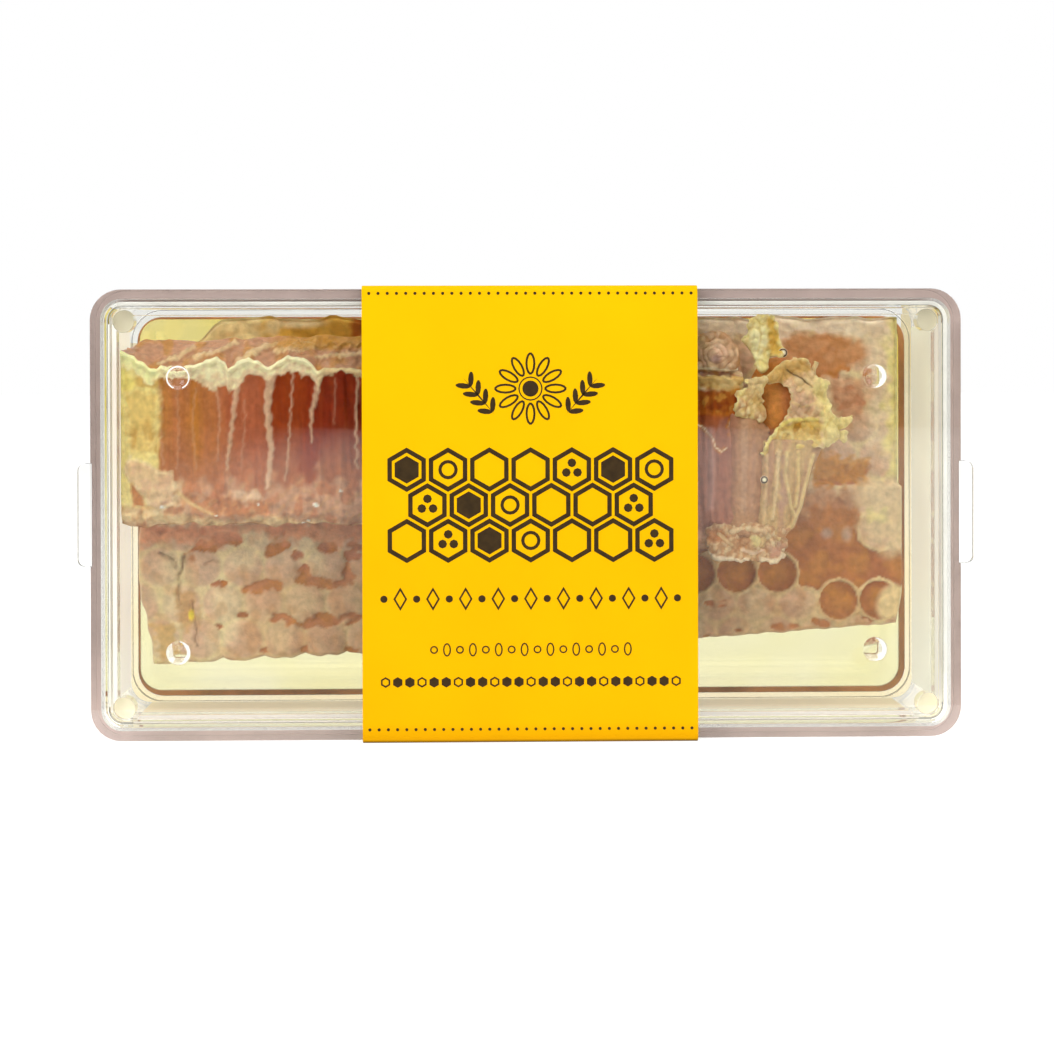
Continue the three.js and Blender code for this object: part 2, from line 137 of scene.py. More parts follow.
class SleeveLook(bpy.types.PropertyGroup):
    """The card sleeve's size and colours."""

    thick: length("Thickness", "Thickness of the card", 0.3)
    fold: length("Fold", "Radius of the card's folds, inside", 0.7)
    card: colour("Card", "Printed yellow of the card", "#f9b900")
    ink: colour("Ink", "Dark brown of the printed marks", "#3a2a12")


class CombLook(bpy.types.PropertyGroup):
    """Sizes and colours of the comb."""

    pitch: length("Cell pitch", "Distance between the middles of two cells", 5.29)
    cell_x: length("Cell X", "Where one bare cell's middle is, along X", 40.4)
    cell_z: length("Cell Z", "Where one bare cell's middle is, along Z", 16.4)
    grain: length("Grain", "Distance between points of the comb's surfaces", 0.24)


class StageLook(bpy.types.PropertyGroup):
    """Where the camera stands and how bright the stage is."""

    distance: length("Distance", "From the camera to the lid's front, in millimetres", 280)
    aside: length("Aside", "How far right of the middle the camera stands", -7.3)
    height: length("Height", "How high the camera stands", 45.43)
    lens: FloatProperty(name="Lens", description="Focal length in millimetres", default=77.19)
    shift: FloatProperty(name="Shift", description="Vertical lens shift", default=-0.1316)
    yaw: angle("Yaw", "Turn to the right", 1.48)
    pitch: angle("Pitch", "Turn down", 0.306)
    roll: angle("Roll", "Turn about the view", -0.135)


class PackSettings(bpy.types.PropertyGroup):
    """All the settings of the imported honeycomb."""

    box: PointerProperty(type=BoxSizes)
    sleeve: PointerProperty(type=SleeveLook)
    comb: PointerProperty(type=CombLook)
    stage: PointerProperty(type=StageLook)


# ---- modelling helpers ----

def deselect():
    """Leaves edit mode and deselects every object."""
    if bpy.context.object and bpy.context.object.mode != "OBJECT":
        bpy.ops.object.mode_set(mode="OBJECT")
    bpy.ops.object.select_all(action="DESELECT")


def activate(obj):
    """Makes obj the only selected object and the active one."""
    deselect()
    obj.select_set(True)
    bpy.context.view_layer.objects.active = obj
    return obj


def settle(obj, name=None):
    """Applies obj's place to its mesh, so that its object sits at the origin."""
    activate(obj)
    bpy.ops.object.transform_apply(location=True, rotation=True, scale=True)
    if name:
        obj.name = obj.data.name = name
    return obj


def edit_whole(obj):
    """Enters edit mode with all of obj selected."""
    activate(obj)
    bpy.ops.object.mode_set(mode="EDIT")
    bpy.ops.mesh.select_all(action="SELECT")


def round_edges(obj, test, radius, steps):
    """Rounds the edges whose middle (in millimetres) and direction pass the test."""
    activate(obj)
    bpy.ops.object.mode_set(mode="EDIT")
    bpy.ops.mesh.select_mode(type="EDGE")
    bpy.ops.mesh.select_all(action="DESELECT")
    mesh = bmesh.from_edit_mesh(obj.data)
    for edge in mesh.edges:
        start, end = (corner.co for corner in edge.verts)
        edge.select_set(bool(test((start + end) / 2 / MM, (end - start).normalized())))
    mesh.select_flush_mode()
    bmesh.update_edit_mesh(obj.data)
    bpy.ops.mesh.bevel(offset=radius * MM, segments=steps, affect="EDGES", profile=0.5)
    bpy.ops.object.mode_set(mode="OBJECT")
    return obj


def block(name, low, high, radius=0.0, steps=8):
    """A block between two corners in millimetres, with its edges along Y rounded."""
    low, high = Vector(low), Vector(high)
    deselect()
    bpy.ops.mesh.primitive_cube_add(size=1, location=(low + high) / 2 * MM)
    obj = bpy.context.object
    obj.scale = (high - low) * MM
    settle(obj, name)
    if radius:
        round_edges(obj, lambda middle, way: abs(way.y) > 0.99, radius, steps)
    return obj


def inset_block(name, inset, front, back, corner, steps):
    """A block over the box's outline, drawn in by inset on its four sides."""
    low = (BASE[0] + inset, front, BASE[2] + inset)
    high = (BASE[3] - inset, back, BASE[5] - inset)
    return block(name, low, high, max(corner - inset, 0.25), steps)


def combine(obj, tool, how):
    """Joins or cuts obj with tool, which is then removed."""
    activate(obj)
    modifier = obj.modifiers.new("combine", "BOOLEAN")
    modifier.operation = how
    modifier.solver = "EXACT"
    modifier.object = tool
    bpy.ops.object.modifier_apply(modifier=modifier.name)
    bpy.data.objects.remove(tool)
    return obj


def apply_modifier(obj, kind, **settings):
    """Adds a modifier with its settings and applies it."""
    activate(obj)
    modifier = obj.modifiers.new(kind.lower(), kind)
    for key, value in settings.items():
        setattr(modifier, key, value)
    bpy.ops.object.modifier_apply(modifier=modifier.name)
    return obj


def smooth_by_angle(obj, degrees=32):
    """Smooth shading, with edges sharper than the angle kept crisp and broad faces kept flat."""
    activate(obj)
    bpy.ops.object.shade_smooth_by_angle(angle=math.radians(degrees))
    return apply_modifier(obj, "WEIGHTED_NORMAL", keep_sharp=True, weight=90)


def soften(obj, width, degrees, segments):
    """A small bevel along every edge sharper than the angle, then smooth shading."""
    apply_modifier(
        obj, "BEVEL", width=width * MM, segments=segments,
        limit_method="ANGLE", angle_limit=math.radians(degrees),
    )
    return smooth_by_angle(obj)


def finish(obj, material, slot, *nodes):
    """Gives a piece its material and its body, and hides the nodes that it stands for. The slot is not used.
    """
    obj.data.materials.clear()
    obj.data.materials.append(material)
    deselect()
    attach(obj, "root")
    if nodes:
        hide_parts(*nodes)
    return obj


# ---- materials ----

def add_node(tree, kind, inputs=None, **settings):
    """Adds a node, sets its properties, and sets or links its inputs."""
    node = tree.nodes.new(kind)
    for key, value in settings.items():
        setattr(node, key, value)
    for key, value in (inputs or {}).items():
        if isinstance(value, bpy.types.NodeSocket):
            tree.links.new(value, node.inputs[key])
        else:
            node.inputs[key].default_value = value
    return node


def new_material(name):
    """An empty node material and its output."""
    material = bpy.data.materials.new(name)
    material.use_nodes = True
    tree = material.node_tree
    tree.nodes.clear()
    return material, tree, add_node(tree, "ShaderNodeOutputMaterial")


def uneven(tree, size, low, high, detail=2.0):
    """A value that wanders between low and high in soft patches about size millimetres wide."""
    coords = add_node(tree, "ShaderNodeTexCoord")
    patches = add_node(
        tree, "ShaderNodeTexNoise",
        {"Vector": coords.outputs["Object"], "Scale": 1 / (size * MM), "Detail": detail},
    )
    return add_node(
        tree, "ShaderNodeMapRange", {"Value": patches.outputs["Fac"], 1: 0.3, 2: 0.7, 3: low, 4: high}
    ).outputs[0]


def bumps(tree, size, detail, strength, height):
    """The direction of a surface with bumps of a size and a height in millimetres."""
    coords = add_node(tree, "ShaderNodeTexCoord")
    lumps = add_node(
        tree, "ShaderNodeTexNoise",
        {"Vector": coords.outputs["Object"], "Scale": 1 / (size * MM), "Detail": detail},
    )
    return add_node(
        tree, "ShaderNodeBump",
        {"Height": lumps.outputs["Fac"], "Strength": strength, "Distance": height * MM},
    ).outputs[0]


def changing(tree, axis, start, end, low=0.0, high=1.0):
    """A value that goes from low to high between two places, in millimetres, along an axis."""
    coords = add_node(tree, "ShaderNodeTexCoord")
    parts = add_node(tree, "ShaderNodeSeparateXYZ", {0: coords.outputs["Object"]})
    return add_node(
        tree, "ShaderNodeMapRange",
        {"Value": parts.outputs[axis], 1: start * MM, 2: end * MM, 3: low, 4: high},
    ).outputs[0]


def lamps_pass(tree, clear, colour):
    """A clear finish that lamps shine straight through, as they nearly do through a thin clear wall."""
    through = add_node(tree, "ShaderNodeBsdfTransparent", {"Color": colour})
    path = add_node(tree, "ShaderNodeLightPath")
    return add_node(
        tree, "ShaderNodeMixShader",
        {0: path.outputs["Is Shadow Ray"], 1: clear.outputs[0], 2: through.outputs[0]},
    ).outputs[0]


def polystyrene(look):
    """Clear moulded polystyrene: IOR 1.59, polished, so it mirrors about a tenth and its edges go dark. It
    waves a little over a finger's width, so what it mirrors swims."""
    material, tree, out = new_material("clear_moulded_polystyrene")
    glass = add_node(
        tree, "ShaderNodeBsdfPrincipled",
        {
            "Base Color": linear(look.plastic), "Roughness": 0.015, "IOR": 1.59, "Transmission Weight": 1.0,
            "Normal": bumps(tree, 18.182, 1.0, 0.04, 0.4),
        },
    )
    tree.links.new(lamps_pass(tree, glass, (0.985, 0.985, 0.98, 1)), out.inputs["Surface"])
    return material


def moulded_edge(name, code):
    """Rims, pin marks and small edges of moulded plastic: satin and slightly milky. Their colour carries
    painted light: it is made brighter near the table and at the right, so they show as pale bands there."""
    material, tree, out = new_material(name)
    # Painted light: up to 1.5 times brighter near the table and 1.3 times brighter at the right.
    below = changing(tree, "Z", 3, 12, 1.5, 1.05)
    right = changing(tree, "X", 50, 54, 1.0, 1.3)
    lighter = add_node(tree, "ShaderNodeMath", {0: below, 1: right}, operation="MAXIMUM")
    value = add_node(
        tree, "ShaderNodeMath", {0: uneven(tree, 4.0, 0.92, 1.06), 1: lighter.outputs[0]},
        operation="MULTIPLY",
    )
    shade = add_node(
        tree, "ShaderNodeHueSaturation", {"Color": linear(code), "Value": value.outputs[0]}
    )
    satin = add_node(
        tree, "ShaderNodeBsdfPrincipled", {"Base Color": shade.outputs[0], "Roughness": 0.45, "IOR": 1.59}
    )
    tree.links.new(satin.outputs[0], out.inputs["Surface"])
    return material


def edge_faces(obj, material, test):
    """Gives the faces whose middle (in millimetres) and direction pass the test another material."""
    obj.data.materials.append(material)
    slot = len(obj.data.materials) - 1
    for face in obj.data.polygons:
        if test(face.center / MM, face.normal):
            face.material_index = slot


def printed_card(look):
    """Uncoated card printed yellow: dull, slightly uneven ink, with painted shade: darker and a little
    oranger lower down, and darkest where it turns under at the table. Its fibres are a few hundredths of a
    millimetre wide and are drawn coarser, so that a grain shows."""
    material, tree, out = new_material("uncoated_printed_card")
    # Painted shade: darker towards the table and darkest in the last half millimetre, where the card turns
    # under; the hue below turns a little oranger lower down with it.
    low = changing(tree, "Z", 0, 2.5, 0.72, 1.0)
    edge = changing(tree, "Z", 0.05, 0.5, 0.12, 1.0)
    dim = add_node(tree, "ShaderNodeMath", {0: low, 1: edge}, operation="MULTIPLY")
    value = add_node(
        tree, "ShaderNodeMath", {0: uneven(tree, 16.667, 0.965, 1.03), 1: dim.outputs[0]},
        operation="MULTIPLY",
    )
    shade = add_node(
        tree, "ShaderNodeHueSaturation",
        {
            "Color": linear(look.card), "Value": value.outputs[0],
            "Hue": changing(tree, "Z", 0, 55, 0.497, 0.505),
        },
    )
    card = add_node(
        tree, "ShaderNodeBsdfPrincipled",
        {
            "Base Color": shade.outputs[0], "Roughness": 0.8, "IOR": 1.45, "Specular IOR Level": 0.05,
            "Normal": bumps(tree, 0.6667, 3.0, 0.25, 0.04),
        },
    )
    tree.links.new(card.outputs[0], out.inputs["Surface"])
    return material


# ---- the clear box ----

class HONEYCOMB_OT_clear_box(bpy.types.Operator):
    """Builds the lid and the base of the clear box"""

    bl_idname = "honeycomb.clear_box"
    bl_label = "Clear box"

    def execute(self, context):
        sizes = context.scene.honeycomb_pack.box
        plastic = polystyrene(sizes)
        lid, base = clear_lid(sizes), clear_base(sizes)
        finish(lid, plastic, "clear_plastic", "box_lid")
        finish(base, plastic, "clear_plastic", "box_base")
        # The lid skirt's back edges and the base wall's front end: their satin mauve-grey is painted shade,
        # standing in for the darker band that the clear walls show seen edge-on.
        grey = moulded_edge("moulded_rim", "#c2aca5")
        edge_faces(lid, grey, lambda at, way: way.y > 0.7 and at.y > LID[4] - 0.3)
        pin_end = moulded_edge("ejector_pin_mark", "#ece3c4")
        post_back = LID[1] + sizes.plate + sizes.rib_height + POST_LONGER
        edge_faces(lid, pin_end, lambda at, way: way.y > 0.7 and abs(at.y - post_back) < 0.1)
        edge_faces(base, grey, lambda at, way: way.y < -0.7 and BASE_SEAM - 0.1 < at.y < BASE_SEAM + 0.3)
        # Painted highlights: plain white faces on the dimples' rims, on the sides of the lid's rib and on the
        # front end of the base's neck stand in for the glints of the clear plastic.
        glint = moulded_edge("painted_glint", "#f8f6f0")
        edge_faces(lid, glint, lambda at, way: in_glint(at))
        rib_side = BASE[3] - sizes.rib_inset
        edge_faces(
            lid, glint,
            lambda at, way: abs(way.x) > 0.9 and abs(abs(at.x) - rib_side) < 0.05 and at.y > LID[1] + 1,
        )
        edge_faces(
            base, glint,
            lambda at, way: way.y < -0.7 and at.y < BASE[1] + 0.1 and (abs(at.x) > 50.5 or at.z > 30),
        )
        return {"FINISHED"}


def clear_lid(sizes):
    """The lid: a front plate with a short skirt, a locating rib with four posts, and two finger tabs."""
    front, back = LID[1], LID[4]
    plate_back = front + sizes.plate
    steps = sizes.corner_steps
    lid = inset_block("clear_lid", 0, front, back, sizes.corner, steps)
    hollow = inset_block("hollow", sizes.wall, plate_back, back + 1, sizes.corner, steps)
    combine(lid, hollow, "DIFFERENCE")
    rib_back = plate_back + sizes.rib_height
    rib = inset_block("rib", sizes.rib_inset, plate_back - 0.5, rib_back, sizes.corner, steps)
    rib_end = sizes.rib_inset + sizes.rib_wall
    inside = inset_block("inside", rib_end, plate_back - 1, rib_back + 1, sizes.corner, steps)
    combine(rib, inside, "DIFFERENCE")
    combine(lid, rib, "UNION")
    for side_x in (-1, 1):
        for side_z in (-1, 1):
            combine(lid, corner_post(side_x, side_z, plate_back, rib_back), "UNION")
            combine(lid, dimple_ball(side_x, side_z, front), "DIFFERENCE")
        combine(lid, finger_tab(side_x, front, sizes), "UNION")
    return soften(lid, EDGE_BREAK, 40, 2)


EDGE_BREAK = 0.16
POST_RADIUS = 1.4
POST_INSET = 3.9
POST_LONGER = 0.15
POST_AT = (BASE[3] - POST_INSET, (BASE[5] - BASE[2]) / 2 - POST_INSET)
DIMPLE_RADIUS = 1.5
DIMPLE_DEPTH = 0.6
DIMPLE_SPREAD = (43.2, 17.0)
TAB_HALF = 6.4
TAB_THICK = 1.6
TAB_SET_BACK = 0.4
TAB_CORNER = 0.9


def corner_post(side_x, side_z, plate_back, rib_back):
    """A short round post in a corner of the lid's rib."""
    middle = (side_x * POST_AT[0], MIDDLE_Z + side_z * POST_AT[1])
    return round_bar(middle, POST_RADIUS, plate_back - 0.5, rib_back + POST_LONGER)


def round_bar(middle, radius, front, back):
    """A round bar that points back, about a middle (x, z)."""
    deselect()
    bpy.ops.mesh.primitive_cylinder_add(
        vertices=40, radius=radius * MM, depth=(back - front) * MM,
        location=Vector((middle[0], (front + back) / 2, middle[1])) * MM, rotation=(math.pi / 2, 0, 0),
    )
    return settle(bpy.context.object)


def dimple_ball(side_x, side_z, front):
    """The ball that sinks a small round dimple into the lid's front, which bends the view like a lens."""
    ball = (DIMPLE_RADIUS ** 2 + DIMPLE_DEPTH ** 2) / (2 * DIMPLE_DEPTH)
    at = (side_x * DIMPLE_SPREAD[0], front + DIMPLE_DEPTH - ball, MIDDLE_Z + side_z * DIMPLE_SPREAD[1])
    deselect()
    bpy.ops.mesh.primitive_uv_sphere_add(
        segments=48, ring_count=40, radius=ball * MM, location=Vector(at) * MM, rotation=(math.pi / 2, 0, 0),
    )
    return settle(bpy.context.object)


def in_glint(at):
    """The faces of a dimple's rim that are painted white as a highlight: the right half, and nearly the whole
    rim at the upper left.
    """
    if at.y > LID[1] + DIMPLE_DEPTH + 0.05 or abs(at.x) > DIMPLE_SPREAD[0] + DIMPLE_RADIUS:
        return False
    dx = at.x - math.copysign(DIMPLE_SPREAD[0], at.x)
    dz = at.z - MIDDLE_Z - math.copysign(DIMPLE_SPREAD[1], at.z - MIDDLE_Z)
    reach = math.hypot(dx, dz) / DIMPLE_RADIUS
    if at.x < 0 and at.z > MIDDLE_Z:
        return 0.85 < reach < 0.97 and not (abs(dx) < 0.5 and dz < 0)
    return 0.98 > reach > 0.98 - 0.6 * dx / DIMPLE_RADIUS


def finger_tab(side, front, sizes):
    """A finger tab at the middle of a short side."""
    out = BASE[3] + sizes.tab_proud
    inner = BASE[3] - sizes.wall / 2
    low = (min(side * inner, side * out), front + TAB_SET_BACK, MIDDLE_Z - TAB_HALF)
    high = (max(side * inner, side * out), front + TAB_SET_BACK + TAB_THICK, MIDDLE_Z + TAB_HALF)
    return round_edges(
        block("tab", low, high), lambda middle, way: abs(way.y) > 0.99 and abs(middle.x) > BASE[3] + 0.1,
        TAB_CORNER, 4,
    )


def clear_base(sizes):
    """The base: a tray whose neck stands inside the lid, with a floor panel pushed out behind."""
    steps = sizes.corner_steps
    seam = BASE_SEAM
    back = BASE[4] - sizes.panel_step
    floor_front = back - sizes.plate
    shoulder = seam + sizes.plate
    base = inset_block("clear_base", 0, seam, back, sizes.corner, steps)
    panel_low = (-PANEL[0] / 2, floor_front, PANEL_Z - PANEL[1] / 2)
    panel_high = (PANEL[0] / 2, BASE[4], PANEL_Z + PANEL[1] / 2)
    grow = Vector((PANEL_WALL, 0, PANEL_WALL))
    foot = block("foot", Vector(panel_low) - grow, Vector(panel_high) + grow, PANEL_CORNER + PANEL_WALL,
                 steps)
    combine(base, foot, "UNION")
    neck = inset_block("neck", sizes.neck_inset, BASE[1], shoulder, sizes.corner, steps)
    combine(base, neck, "UNION")
    neck_end = sizes.neck_inset + sizes.neck_wall
    opening = inset_block("opening", neck_end, BASE[1] - 1, shoulder + 0.1, sizes.corner, steps)
    combine(base, opening, "DIFFERENCE")
    hollow = inset_block("hollow", sizes.wall, shoulder, floor_front, sizes.corner, steps)
    combine(base, hollow, "DIFFERENCE")
    recess = block(
        "recess", Vector(panel_low) - Vector((0, 1, 0)), Vector(panel_high) - Vector((0, sizes.plate, 0)),
        PANEL_CORNER, steps,
    )
    combine(base, recess, "DIFFERENCE")
    return soften(base, EDGE_BREAK, 40, 2)


BASE_SEAM = LID[4] + 0.3
PANEL = (103.7, 51.0)
PANEL_Z = MIDDLE_Z - 0.35
PANEL_CORNER = 3.3
PANEL_WALL = 0.9


# ---- honey on the box's floor ----

class HONEYCOMB_OT_floor_honey(bpy.types.Operator):
    """Builds the thin honey that wets the floor panel and has run into its edge"""

    bl_idname = "honeycomb.floor_honey"
    bl_label = "Honey on the floor"

    def execute(self, context):
        sizes = context.scene.honeycomb_pack.box
        floor = BASE[4] - sizes.plate
        film = panel_block("honey_film", 0.05, floor - FILM_THICK, floor - HONEY_GAP)
        yellow = runny_honey("thin_runny_honey", "#e7e2b6", "#fdec96", 1.36)
        finish(smooth_by_angle(film), yellow, "clear_plastic")
        pale = runny_honey("thin_pale_honey", "#f3e6c4", "#f3e6c4", 1.36)
        finish(ledge_film(sizes, floor), pale, "clear_plastic")
        for name, low, high, lower, upper, glow in wall_smears_painted_glow(sizes, floor):
            finish(block(name, low, high), smear_with_painted_glow(name, lower, upper, glow), "clear_plastic")
        finish(edge_bead(floor), pooled_honey("pooled_honey", "#ac7c4c"), "clear_plastic")
        return {"FINISHED"}


FILM_THICK = 0.06
DRY_ABOVE = 50.0
DRY_TO = 51.4
BEAD_WIDE = 0.5
BEAD_SHIFT = 0.25
BEAD_RISE = 0.2
BEAD_BREAK = 0.2
LEDGE_DEPTH = 0.85
LEDGE_THICK = 0.04
HONEY_GAP = 0.01
SMEAR_REACH = 0.06


def ledge_film(sizes, floor):
    """The film on the ledge round the floor panel, dry at the upper left."""
    film = inset_block(
        "ledge_film", sizes.wall + 0.05, floor - LEDGE_DEPTH, floor - LEDGE_DEPTH + LEDGE_THICK,
        sizes.corner, 10,
    )
    combine(film, panel_block("gap", 0, floor - 2, floor + 1), "DIFFERENCE")
    dry = block("dry", (BASE[0], floor - 2, DRY_ABOVE), (DRY_TO, floor + 1, BASE[5] + 1))
    combine(film, dry, "DIFFERENCE")
    return smooth_by_angle(film)


def wall_smears_painted_glow(sizes, floor):
    """The smears on the walls and on the neck, which glow as painted light: name, two corners, lower and
    upper colour, and glow. The sheet on the left of the neck is plain glowing white, a painted highlight.
    """
    side, foot = BASE[3] - sizes.wall, BASE[2] + sizes.wall
    neck = sizes.neck_inset + sizes.neck_wall
    neck_side, neck_foot = BASE[3] - neck, BASE[2] + neck
    far, near = SMEAR_REACH, HONEY_GAP
    front, back = BASE_SEAM + 2, floor - 1
    start, end = BASE[1] + 0.1, BASE_SEAM + sizes.plate
    return (
        ("right_smear_painted_glow", (side - far, front, 3.8), (side - near, back, 52), "#e8e9d8", "#d6d6be", 0.62),
        ("left_smear_painted_glow", (near - side, front, 3.8), (far - side, back, 52), "#f2efe8", "#ece8dc", 0.62),
        ("foot_puddle_painted_glow", (-50, front, foot + near), (50, back, foot + far), "#e6d5a4", "#e6d5a4", 0.5),
        ("right_neck", (neck_side - far, start, 4.5), (neck_side - near, end, 52), "#eae8dc", "#e2dccc", 0.7),
        ("left_neck", (near - neck_side, start, 4.5), (far - neck_side, end, 52), "#ffffff", "#ffffff", 1.0),
        ("foot_neck", (-49, start, neck_foot + near), (49, end, neck_foot + far), "#e6dfd8", "#e6dfd8", 0.6),
    )


def edge_bead(floor):
    """The bead of honey that has run into the floor panel's edge, thicker at the left and the foot."""
    bead = panel_block("honey_bead", 0.02, floor - 0.85, floor - FILM_THICK - 0.005)
    inside = panel_block("inside", BEAD_WIDE, floor - 2, floor + 1)
    inside.data.transform(Matrix.Translation((-BEAD_SHIFT * MM, 0, BEAD_RISE * MM)))
    return soften(combine(bead, inside, "DIFFERENCE"), BEAD_BREAK, 50, 3)


def panel_block(name, inset, front, back):
    """A block over the floor panel's outline, drawn in by inset."""
    low = (-PANEL[0] / 2 + inset, front, PANEL_Z - PANEL[1] / 2 + inset)
    high = (PANEL[0] / 2 - inset, back, PANEL_Z + PANEL[1] / 2 - inset)
    return block(name, low, high, PANEL_CORNER - inset, 10)


def by_height(tree, lower, upper):
    """A colour that changes from lower to upper with the height above the table."""
    return add_node(
        tree, "ShaderNodeMix", {0: changing(tree, "Z", 20, 46), 6: linear(lower), 7: linear(upper)},
        data_type="RGBA",
    ).outputs[2]


def smear_with_painted_glow(name, lower, upper, glow):
    """A thin smear of honey on a wall: all but clear where it is looked at squarely, and pale and dull
    where it is seen at a slant. Its glow is painted light, standing in for the backdrop's light that comes
    through the clear walls."""
    material, tree, out = new_material(name)
    shade = add_node(
        tree, "ShaderNodeHueSaturation",
        {"Color": by_height(tree, lower, upper), "Value": uneven(tree, 8.333, 0.97, 1.03)},
    )
    # Painted light: the smear glows an even white, as strong as glow.
    smear = add_node(
        tree, "ShaderNodeBsdfPrincipled",
        {
            "Base Color": shade.outputs[0], "Roughness": 0.4, "Specular IOR Level": 0.1,
            "Emission Color": linear("#f7f6f4"), "Emission Strength": glow,
        },
    )
    lit_through = add_node(tree, "ShaderNodeBsdfTranslucent", {"Color": shade.outputs[0]})
    mix = add_node(
        tree, "ShaderNodeMixShader", {0: 0.5, 1: smear.outputs[0], 2: lit_through.outputs[0]}
    )
    slant = add_node(tree, "ShaderNodeLayerWeight", {"Blend": 0.5})
    dense = add_node(
        tree, "ShaderNodeMapRange", {"Value": slant.outputs["Facing"], 1: 0.45, 2: 0.75, 3: 0.08, 4: 1.0}
    )
    clear = add_node(tree, "ShaderNodeBsdfTransparent", {"Color": (0.97, 0.96, 0.9, 1)})
    film = add_node(
        tree, "ShaderNodeMixShader", {0: dense.outputs[0], 1: clear.outputs[0], 2: mix.outputs[0]}
    )
    tree.links.new(film.outputs[0], out.inputs["Surface"])
    return material


def runny_honey(name, lower, upper, ior):
    """A film of honey thin enough to see through: a clear yellow stain with a slight unevenness."""
    material, tree, out = new_material(name)
    stain = add_node(
        tree, "ShaderNodeHueSaturation",
        {"Color": by_height(tree, lower, upper), "Saturation": uneven(tree, 14.286, 0.75, 1.15)},
    )
    film = add_node(
        tree, "ShaderNodeBsdfPrincipled",
        {"Base Color": stain.outputs[0], "Roughness": 0.03, "IOR": ior, "Transmission Weight": 1.0},
    )
    tree.links.new(lamps_pass(tree, film, stain.outputs[0]), out.inputs["Surface"])
    return material


def pooled_honey(name, code):
    """Honey pooled deep enough to look amber to brown, wet and smooth."""
    material, tree, out = new_material(name)
    shade = add_node(
        tree, "ShaderNodeHueSaturation", {"Color": linear(code), "Value": uneven(tree, 5.556, 0.75, 1.35)}
    )
    honey = add_node(
        tree, "ShaderNodeBsdfPrincipled",
        {
            "Base Color": shade.outputs[0], "Roughness": 0.12, "IOR": 1.49,
            "Subsurface Weight": 0.2, "Subsurface Radius": (1.0, 0.4, 0.1), "Subsurface Scale": 0.001,
        },
    )
    tree.links.new(honey.outputs[0], out.inputs["Surface"])
    return material


# ---- the card sleeve ----

class HONEYCOMB_OT_card_sleeve(bpy.types.Operator):
    """Builds the printed card sleeve"""

    bl_idname = "honeycomb.card_sleeve"
    bl_label = "Card sleeve"

    def execute(self, context):
        look = context.scene.honeycomb_pack.sleeve
        finish(sleeve_band(look), printed_card(look), "card", "card_sleeve")
        finish(printed_marks(), brown_ink(look), "card")
        return {"FINISHED"}


def sleeve_band(look):
    """The sleeve: a band of card with round folds, cut hollow by a longer block."""
    outer = sleeve_block("card_band", 0, look.fold + look.thick)
    inner = sleeve_block("opening", look.thick, look.fold)
    inner.data.transform(Matrix.Scale(1.2, 4, (1, 0, 0)))
    return soften(combine(outer, inner, "DIFFERENCE"), CARD_BREAK, 60, 1)


def sleeve_block(name, inset, radius):
    """A block over the sleeve's outline, drawn in by inset, with its edges along X rounded."""
    low = Vector((SLEEVE[0], SLEEVE[1] + INK_THICK + inset, SLEEVE[2] + inset))
    high = Vector((SLEEVE[3], SLEEVE[4] - inset, SLEEVE[5] - inset))
    return round_edges(block(name, low, high), lambda middle, way: abs(way.x) > 0.99, radius, 6)


def brown_ink(look):
    """Dark brown printing ink: flat and dull."""
    material, tree, out = new_material("dark_brown_printing_ink")
    shade = add_node(
        tree, "ShaderNodeHueSaturation", {"Color": linear(look.ink), "Value": uneven(tree, 1.111, 0.8, 1.3)}
    )
    ink = add_node(
        tree, "ShaderNodeBsdfPrincipled",
        {"Base Color": shade.outputs[0], "Roughness": 0.75, "IOR": 1.45, "Specular IOR Level": 0.2},
    )
    tree.links.new(ink.outputs[0], out.inputs["Surface"])
    return material


CARD_BREAK = 0.05
INK_THICK = 0.02
PRINT_X = 0.35
BAND_Z = (33.9, 29.5, 25.1)
HEXAGON = 2.95
HEX_PITCH = HEXAGON * math.sqrt(3)
FLOWER_AT = (0.35, 43.9)
SPRIG_WAY = 0.86


def mark(sides, x, z, wide, high=None, turn=0.0, ring=0.0):
    """A flat printed shape on the sleeve's front: a filled polygon, or a ring of one."""
    deselect()
    bpy.ops.mesh.primitive_circle_add(
        vertices=sides, radius=1, fill_type="NGON",
        location=(x * MM, (SLEEVE[1] + INK_THICK / 2) * MM, z * MM),
        rotation=(math.pi / 2, 0, 0),
    )
    shape = bpy.context.object
    turned = Matrix.Rotation(turn, 4, "Z")
    shape.data.transform(turned @ Matrix.Diagonal((wide * MM, (high or wide) * MM, 1, 1)))
    if ring:
        edit_whole(shape)
        bpy.ops.mesh.inset(thickness=ring * MM)
        bpy.ops.mesh.delete(type="FACE")
        bpy.ops.object.mode_set(mode="OBJECT")
    return shape


